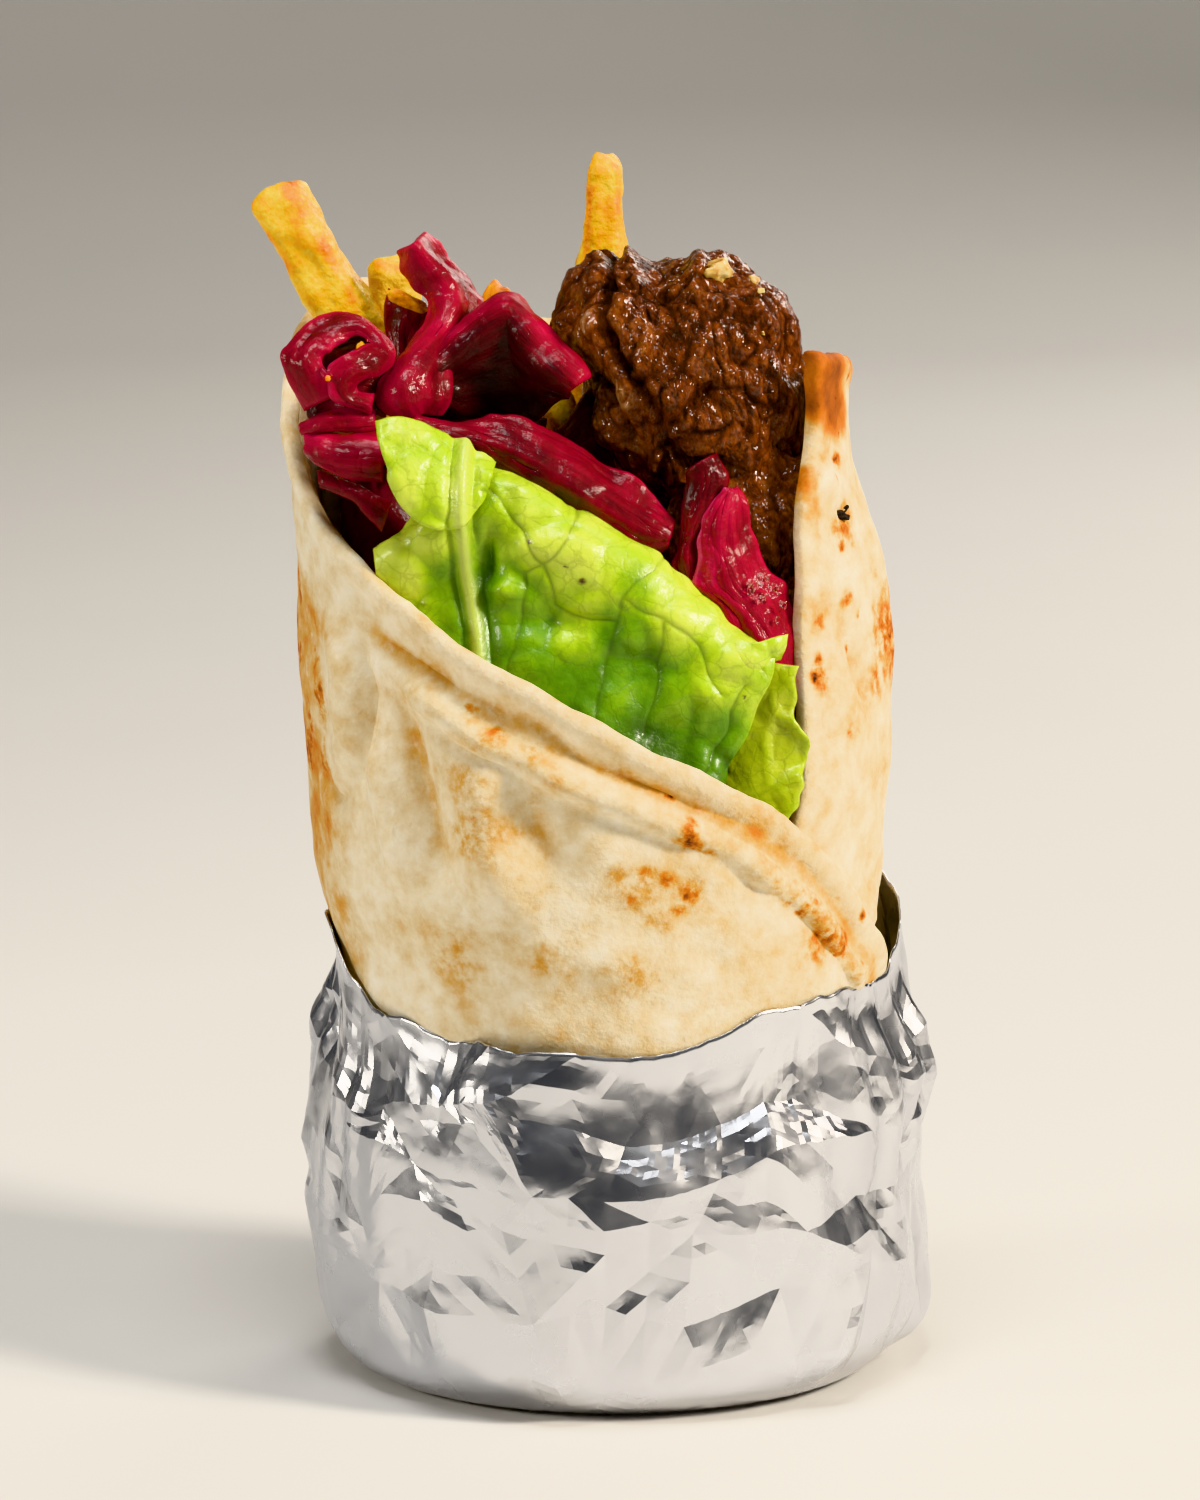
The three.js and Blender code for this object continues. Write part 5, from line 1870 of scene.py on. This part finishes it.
# The pale attribute holds the leaf's paler and darker tone, and, on the strips that lie in shade, painted
# shade.
pale = add(tree, "ShaderNodeAttribute", attribute_name="pale").outputs["Fac"]
stretched = add(tree, "ShaderNodeMapping", {"Vector": length_wise, "Scale": (per(9), per(1.0), 1)})
fibres = add(
    tree,
    "ShaderNodeTexNoise",
    {"Vector": stretched.outputs[0], "Scale": 1.0, "Detail": 6.0, "Roughness": 0.62},
)
soaked = add(tree, "ShaderNodeTexNoise", {"Vector": place, "Scale": per(5), "Detail": 5.0})
pored = add(tree, "ShaderNodeTexNoise", {"Vector": place, "Scale": per(0.5), "Detail": 3.0})
streaked = add(tree, "ShaderNodeMath", {0: fibres.outputs[0], 1: 0.56, 2: pale}, operation="MULTIPLY_ADD")
tone = add(
    tree,
    "ShaderNodeMath",
    {0: soaked.outputs[0], 1: 0.44, 2: streaked.outputs[0]},
    operation="MULTIPLY_ADD",
)
dyed = add(
    tree,
    "ShaderNodeValToRGB",
    {0: tone.outputs[0]},
    stops=[
        (0.0, "#1d0003"),
        (0.22, "#42010a"),
        (0.42, "#760417"),
        (0.58, "#980829"),
        (0.74, "#b0163c"),
        (0.9, "#cd4a6c"),
    ],
)
relief = add(
    tree,
    "ShaderNodeMath",
    {0: pored.outputs[0], 1: 0.35, 2: fibres.outputs[0]},
    operation="MULTIPLY_ADD",
)
bump = add(tree, "ShaderNodeBump", {"Height": relief.outputs[0], "Strength": 0.7, "Distance": 0.5 * MM})
film = add(tree, "ShaderNodeBump", {"Height": relief.outputs[0], "Strength": 0.45, "Distance": 0.5 * MM})
wet = add(
    tree,
    "ShaderNodeBsdfPrincipled",
    {
        "Base Color": dyed.outputs[0],
        "Roughness": 0.5,
        "Specular IOR Level": 0.2,
        "Subsurface Weight": 0.2,
        "Subsurface Radius": (1.0, 0.06, 0.12),
        "Subsurface Scale": 1.6 * MM,
        "Coat Weight": 0.42,
        "Coat Roughness": 0.06,
        "Normal": bump.outputs[0],
        "Coat Normal": film.outputs[0],
    },
)
add(tree, "ShaderNodeOutputMaterial", {"Surface": wet.outputs[0]})

STRIP_COLUMNS = 130
STRIP_ROWS = 36

# How far in from its outline a strip is rounded off, and what is left of its thickness there.
STRIP_EDGE = 0.8
STRIP_EDGE_SHARE = 0.3

# How many straight steps a strip's length is measured in.
MEASURE_STEPS = 20

# The relief of a strip: the spacing of its ribs along and across it and how high they stand, and
# the height of its waves, wrinkles and creases.
RIB_ALONG, RIB_ACROSS, RIB_RISE = 7, 1.5, 0.34
WAVE_RISE = 0.75
STRIP_WRINKLE_RISE = 0.5
STRIP_CREASE_RISE = 0.22


def scale_uv(bm, length, width):
    """Makes a sheet's UV map as large as the sheet itself, in metres."""
    uv = bm.loops.layers.uv["UVMap"]
    for face in bm.faces:
        for loop in face.loops:
            loop[uv].uv = (loop[uv].uv.x * length * MM, loop[uv].uv.y * width * MM)


def new_strip(name, nodes, thickness, ragged, rails):
    """A strip of cabbage leaf through its rails, from one edge to the other."""
    lines = [through(places) for _, places in rails]
    painted_shade_and_tone = smooth_line([(i / (len(rails) - 1), pale) for i, (pale, _) in enumerate(rails)])
    steps = [lines[1](i / MEASURE_STEPS) for i in range(MEASURE_STEPS + 1)]
    length = sum((after - before).length for before, after in zip(steps, steps[1:]))
    bm, corners = new_sheet(STRIP_COLUMNS, STRIP_ROWS, "pale")
    pale_layer = bm.verts.layers.float["pale"]
    thickness_layer = bm.verts.layers.deform.verify()
    seed = steps[0]

    # The strip runs smoothly across its rails, and its sides are cut ragged.
    columns = {}
    for vert, u, v in corners:
        if u not in columns:
            columns[u] = through([line(u) for line in lines])
        across = columns[u]
        outward = (across(1) - across(0)).normalized() * (2 * v - 1)
        worn = ragged * rough(seed + Vector((u * length, 0, round(v) * 9)), 3.5, 1)
        vert.co = across(v) + outward * worn * abs(2 * v - 1)
    bm.normal_update()

    # Its ribs run lengthwise, over limp waves with wrinkles and creases.
    width = (lines[-1](0.5) - lines[0](0.5)).length
    for vert, u, v in corners:
        point = vert.co.copy()
        lengthwise = Vector((u * length / RIB_ALONG, v * width / RIB_ACROSS, seed.x))
        ribs = RIB_RISE * noise.noise(lengthwise) + RIB_RISE / 2 * noise.noise(lengthwise * 2.3)
        waves = WAVE_RISE * rough(point, 6, 5)
        wrinkles = STRIP_WRINKLE_RISE * (0.3 - abs(rough(point, 4.5, 4)))
        creases = STRIP_CREASE_RISE * (0.3 - abs(rough(point, 2.0, 6)))
        lift = waves + wrinkles + creases + ribs
        from_side = min(v, 1 - v) * (columns[u](1) - columns[u](0)).length
        edge = min(from_side, min(u, 1 - u) * length)
        # Each rail's tone, which is painted shade on the shaded strips, then paler cut edges and an uneven
        # tone.
        vert[pale_layer] = painted_shade_and_tone(v) + 0.16 * hump(edge, 0.6) + 0.12 * rough(point, 3.5, 7)
        vert[thickness_layer][0] = rounded_edge(edge, STRIP_EDGE)
        vert.co = point + vert.normal * lift
    scale_uv(bm, length, width)
    strip = new_piece(name, bm, cabbage_pickled, nodes)
    thicken(strip, thickness, STRIP_EDGE_SHARE)


# A strip that has no solid of its own stands for none.
for name, (thickness, ragged, rails) in CABBAGE_STRIPS.items():
    node = [name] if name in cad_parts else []
    new_strip("pickled_" + name, node, thickness, ragged, rails)


# ---- Shredded cabbage in the wrap ----
# The wrap is filled with finely shredded pickled cabbage. A solid core fills it out to the bread,
# and loose shreds of the real size lie over its top in a tangle.

# The core: how far it is sunk below the solid it stands for, how uneven it is, and the length over
# which an edge of that solid is divided.
CORE_SINK = 1.6
CORE_UNEVEN = 0.8
CORE_EDGE = 3

# The shreds: how many, the ranges of their length and width, their thickness, and how much room
# they leave to the outside of the wrap, with more where the lettuce stands at the front.
SHREDS = 230
SHRED_LENGTHS = (9, 20)
SHRED_WIDTHS = (1.8, 3.4)
SHRED_THICKNESS = 1.1
SHRED_SEED = 7
SHRED_ROOM = 4.5
SHRED_LEAF_ROOM = 5.5

bm = bmesh.new()
bm.from_mesh(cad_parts["cabbage_heap"].data)
bmesh.ops.scale(bm, vec=(1 / MM, 1 / MM, 1 / MM), verts=bm.verts)
bmesh.ops.remove_doubles(bm, verts=bm.verts, dist=0.001)
bm.verts.layers.float.new("pale")
bm.loops.layers.uv.new("UVMap")
heap_shape = BVHTree.FromBMesh(bm)
long_edges = [edge for edge in bm.edges if edge.calc_length() > CORE_EDGE]
bmesh.ops.subdivide_edges(bm, edges=long_edges, cuts=1, use_grid_fill=True)
bmesh.ops.triangulate(bm, faces=bm.faces)
bmesh.ops.smooth_vert(
    bm,
    verts=bm.verts,
    factor=0.5,
    use_axis_x=True,
    use_axis_y=True,
    use_axis_z=True,
)
bm.normal_update()
for vert in bm.verts:
    vert.co -= vert.normal * (CORE_SINK - CORE_UNEVEN * rough(vert.co, 4, 1))
new_piece("cabbage_core", bm, cabbage_pickled, ["cabbage_heap"])


def kept_inside(point):
    """Moves a place that would stand out of the bread, or of the leaf in front, back inside."""
    left, right = wrap_reach(point.z)
    half = (left + right) / 2
    middle = (right - left) / 2
    inset = SHRED_ROOM + SHRED_LEAF_ROOM * smoothstep(-point.y, 10, 26)
    out = math.hypot(point.x - middle, point.y / DEPTH_SHARE) / (half - inset)
    if out > 1:
        point.x = middle + (point.x - middle) / out
        point.y /= out
    return point


core_low, core_high = [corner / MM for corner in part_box("cabbage_heap")]
UP = Vector((0, 0, 1))

# Shreds lie only where the heap faces up by at least this much.
FACES_UP = 0.35


def on_heap(chance):
    """A random place on the heap's top, and the way a shred there faces: half up, half with it."""
    while True:
        x = chance.uniform(core_low.x + 3, core_high.x - 3)
        y = chance.uniform(core_low.y + 4, core_high.y - 3)
        spot, normal, _, _ = heap_shape.ray_cast(Vector((x, y, core_high.z + 20)), -UP)
        if spot and normal.z > FACES_UP:
            return spot, normal.lerp(UP, 0.5).normalized()


# All the shreds are one piece. Each is a short strip that is twisted, curved on the flat, arched
# over what lies under it and tilted with the heap.
chance = random.Random(SHRED_SEED)
bm = bmesh.new()
bm.loops.layers.uv.new("UVMap")
pale_layer = bm.verts.layers.float.new("pale")
for _ in range(SHREDS):
    centre, up = on_heap(chance)
    heading = chance.uniform(0, 2 * math.pi)
    length = chance.uniform(*SHRED_LENGTHS)
    width = chance.uniform(*SHRED_WIDTHS)
    curve = chance.uniform(-0.12, 0.12)
    arch = chance.uniform(0.5, 2.4)
    twist = chance.uniform(-0.9, 0.9)
    shred = bmesh.ops.create_grid(bm, x_segments=9, y_segments=2, size=0.5, calc_uvs=True)["verts"]
    tilt = UP.rotation_difference(up)
    for vert in shred:
        along = vert.co.x * length
        side = vert.co.y * width
        bend = heading + curve * along
        rolled = twist * vert.co.x * 2
        flat = Vector((
            along * math.cos(bend) - side * math.sin(bend) * math.cos(rolled),
            along * math.sin(bend) + side * math.cos(bend) * math.cos(rolled),
            side * math.sin(rolled) - arch * (2 * vert.co.x) ** 2 + 0.8,
        ))
        vert[pale_layer] = 0.25 * abs(vert.co.y * 2) ** 3 - 0.05
        vert.co = kept_inside(centre + tilt @ flat)
shreds = new_piece("cabbage_shreds", bm, cabbage_pickled)
sheet = shreds.modifiers.new("thickness", "SOLIDIFY")
sheet.thickness = SHRED_THICKNESS * MM
sheet.offset = 0


# ---- Bits and drops ----
# Loose bits that fell among the filling while the wrap was rolled: broken corners of chip, a
# charred flake of bread at the right, and beads of juice squeezed out of the pickled cabbage.

# Each bit of chip: its place, its half sizes, and how far it is turned about the Y axis.
CHIP_BITS = [
    (Vector((-33.4, -12.6, 149.4)), Vector((0.75, 0.6, 0.95)), 12),
    (Vector((-37.9, -19.2, 146.4)), Vector((0.4, 0.4, 0.4)), 0),
    (Vector((-27.3, -0.2, 154.3)), Vector((3.7, 0.9, 1.0)), 24),
]
CHIP_BIT_FRIED = 0.2

# The charred flake is two crumbs that hang together: each one's degrees, height and inset on the
# bread, its half sizes for a flake of size 1, and how far it is turned. This flake is smaller.
CHARRED_CRUMBS = [
    (68.5, 125.8, 0.4, Vector((1.5, 1.1, 0.6)), 10),
    (71.0, 126.3, 0.3, Vector((0.8, 0.7, 0.4)), -25),
]
CHARRED_SIZE = 0.95

# Each bead of juice: its place and half its height. Its width and depth are shares of its height.
BEAD_WIDTH = 0.8
BEAD_DEPTH = 0.45
JUICE_BEADS = [
    (Vector((21.2, -26.0, 118.0)), 0.7),
    (Vector((22.7, -26.0, 118.9)), 1.0),
    (Vector((24.3, -25.5, 117.5)), 0.85),
    (Vector((22.6, -26.2, 116.6)), 0.5),
    (Vector((25.4, -25.0, 115.4)), 0.6),
    (Vector((24.6, -25.4, 113.4)), 0.4),
]


def add_bit(bm, place, reach, turn, uneven):
    """Adds a small lump with an uneven skin to a mesh, turned about the Y axis."""
    lump = bmesh.ops.create_icosphere(bm, subdivisions=4, radius=1)["verts"]
    angle = math.radians(turn)
    for vert in lump:
        swell = 1 + uneven * rough(vert.co * 2 + place, 1.3, 2)
        x, y, z = [part * half * swell for part, half in zip(vert.co, reach)]
        turned_x = x * math.cos(angle) + z * math.sin(angle)
        turned_z = z * math.cos(angle) - x * math.sin(angle)
        vert.co = place + Vector((turned_x, y, turned_z))


bm = bmesh.new()
corner_layer = bm.verts.layers.float.new("corner")
for place, reach, turn in CHIP_BITS:
    add_bit(bm, place, reach, turn, 0.35)
for vert in bm.verts:
    vert[corner_layer] = CHIP_BIT_FRIED
new_piece("broken_chip_corners", bm, potato_fried)

# Charred dough: dry carbon, black and matt.
dough_charred, tree = new_material("charred_dough")
place = add(tree, "ShaderNodeTexCoord").outputs["Object"]
cindery = add(tree, "ShaderNodeTexNoise", {"Vector": place, "Scale": per(0.5), "Detail": 3.0})
soot = add(tree, "ShaderNodeValToRGB", {0: cindery.outputs[0]}, stops=[(0.4, "#0a0605"), (0.7, "#2a160c")])
char = add(tree, "ShaderNodeBsdfPrincipled", {"Base Color": soot.outputs[0], "Roughness": 0.8})
add(tree, "ShaderNodeOutputMaterial", {"Surface": char.outputs[0]})

bm = bmesh.new()
for degrees, height, inset, reach, turn in CHARRED_CRUMBS:
    add_bit(bm, on_wrap(degrees, height, inset), reach * CHARRED_SIZE, turn, 0.9)
new_piece("charred_flake", bm, dough_charred)

# Pickling juice: clear and thin, and tinted pink by the cabbage under it.
juice_clear, tree = new_material("pickling_juice")
liquid = add(
    tree,
    "ShaderNodeBsdfPrincipled",
    {"Base Color": colour("#fbdfe6"), "Roughness": 0.02, "IOR": 1.34, "Transmission Weight": 1.0},
)
add(tree, "ShaderNodeOutputMaterial", {"Surface": liquid.outputs[0]})

bm = bmesh.new()
for place, size in JUICE_BEADS:
    add_bit(bm, place, Vector((BEAD_WIDTH * size, BEAD_DEPTH * size, size)), 20, 1.1)
new_piece("juice_beads", bm, juice_clear)


# ---- Table, backdrop, lights and camera ----
# A plain board, painted pale, that curves up behind the wrap into a backdrop, with four small
# studio lamps: the strongest at the front right, the others at the left, overhead and behind.

# The board: its colour, half its width, and its profile from the front edge to the top, as y and z.
TABLE_COLOUR = "#dcdad6"
BOARD_HALF = 2000
BOARD_FRONT = (-1500, 0)
BOARD_PROFILE = [(900, 0), (1150, 30), (1330, 130), (1450, 300), (1500, 550), (1500, 2200)]

bm = bmesh.new()
edge = bm.edges.new([bm.verts.new((x, *BOARD_FRONT)) for x in (-BOARD_HALF, BOARD_HALF)])
for y, z in BOARD_PROFILE:
    grown = bmesh.ops.extrude_edge_only(bm, edges=[edge])["geom"]
    edges = [part for part in grown if isinstance(part, bmesh.types.BMEdge)]
    edge = next(part for part in edges if not part.link_faces[1:])
    for vert in edge.verts:
        vert.co.y = y
        vert.co.z = z
bmesh.ops.recalc_face_normals(bm, faces=bm.faces)
bmesh.ops.scale(bm, vec=(MM, MM, MM), verts=bm.verts)
mesh = bpy.data.meshes.new("table_and_backdrop")
bm.to_mesh(mesh)
bm.free()
for polygon in mesh.polygons:
    polygon.use_smooth = True
backdrop = bpy.data.objects.new("table_and_backdrop", mesh)
bpy.context.scene.collection.objects.link(backdrop)

# Matt paint: an even pale grey that hardly mottles.
painted, tree = new_material("matt_painted_board")
place = add(tree, "ShaderNodeTexCoord").outputs["Object"]
mottled = add(tree, "ShaderNodeTexNoise", {"Vector": place, "Scale": per(60), "Detail": 3.0})
tone = add(tree, "ShaderNodeMapRange", {"Value": mottled.outputs[0], "To Min": 0.97, "To Max": 1.0})
tint = add(
    tree,
    "ShaderNodeVectorMath",
    {0: colour(TABLE_COLOUR)[:3], "Scale": tone.outputs[0]},
    operation="SCALE",
)
board = add(tree, "ShaderNodeBsdfPrincipled", {"Base Color": tint.outputs[0], "Roughness": 0.85})
add(tree, "ShaderNodeOutputMaterial", {"Surface": board.outputs[0]})
mesh.materials.append(painted)

# The faint light of the room fills the shadows.
ROOM_COLOUR = "#c9ccd2"
ROOM_STRENGTH = 0.14
world = bpy.data.worlds.new("studio")
world.use_nodes = True
bpy.context.scene.world = world
room = world.node_tree.nodes["Background"]
room.inputs["Color"].default_value = colour(ROOM_COLOUR)
room.inputs["Strength"].default_value = ROOM_STRENGTH

# What the lamps and the camera point at, straight above the middle of the foot.
AIM_HEIGHT = 89.4

# Each lamp: its name, its place and width in metres, its power in watts, and its colour.
LAMPS = [
    ("key", (0.78, -0.38, 0.62), 0.2, 12.5, "#fff3e2"),
    ("left", (-0.88, -0.32, 0.42), 0.2, 3.8, "#fff7ea"),
    ("top", (-0.05, -0.2, 0.95), 0.3, 4.5, "#ffffff"),
    ("rim", (0.4, 0.8, 0.5), 0.4, 3.0, "#fff8ef"),
]
for name, spot, width, power, tint_code in LAMPS:
    light = bpy.data.lights.new("lamp_" + name, "AREA")
    light.size = width
    light.energy = power
    light.color = colour(tint_code)[:3]
    lamp = bpy.data.objects.new("lamp_" + name, light)
    lamp.location = spot
    aim = Vector((0, 0, AIM_HEIGHT * MM)) - lamp.location
    lamp.rotation_euler = aim.to_track_quat("-Z", "Y").to_euler()
    bpy.context.scene.collection.objects.link(lamp)

# The camera: how many degrees it looks down, how far off it stands, the height that it sees
# there, and the size of its sensor.
CAMERA_ELEVATION = 12
CAMERA_DISTANCE = 1200
VIEW_HEIGHT = 214.3
SENSOR = 36

camera_data = bpy.data.cameras.new("camera")
camera_data.sensor_width = SENSOR
camera_data.lens = SENSOR * CAMERA_DISTANCE / VIEW_HEIGHT
camera = bpy.data.objects.new("camera", camera_data)
rise = math.radians(CAMERA_ELEVATION)
back = Vector((0, -math.cos(rise), math.sin(rise)))
camera.location = (Vector((0, 0, AIM_HEIGHT)) + back * CAMERA_DISTANCE) * MM
camera.rotation_euler = (-back).to_track_quat("-Z", "Y").to_euler()
bpy.context.scene.collection.objects.link(camera)
bpy.context.scene.camera = camera
bpy.context.scene.view_settings.view_transform = "Khronos PBR Neutral"
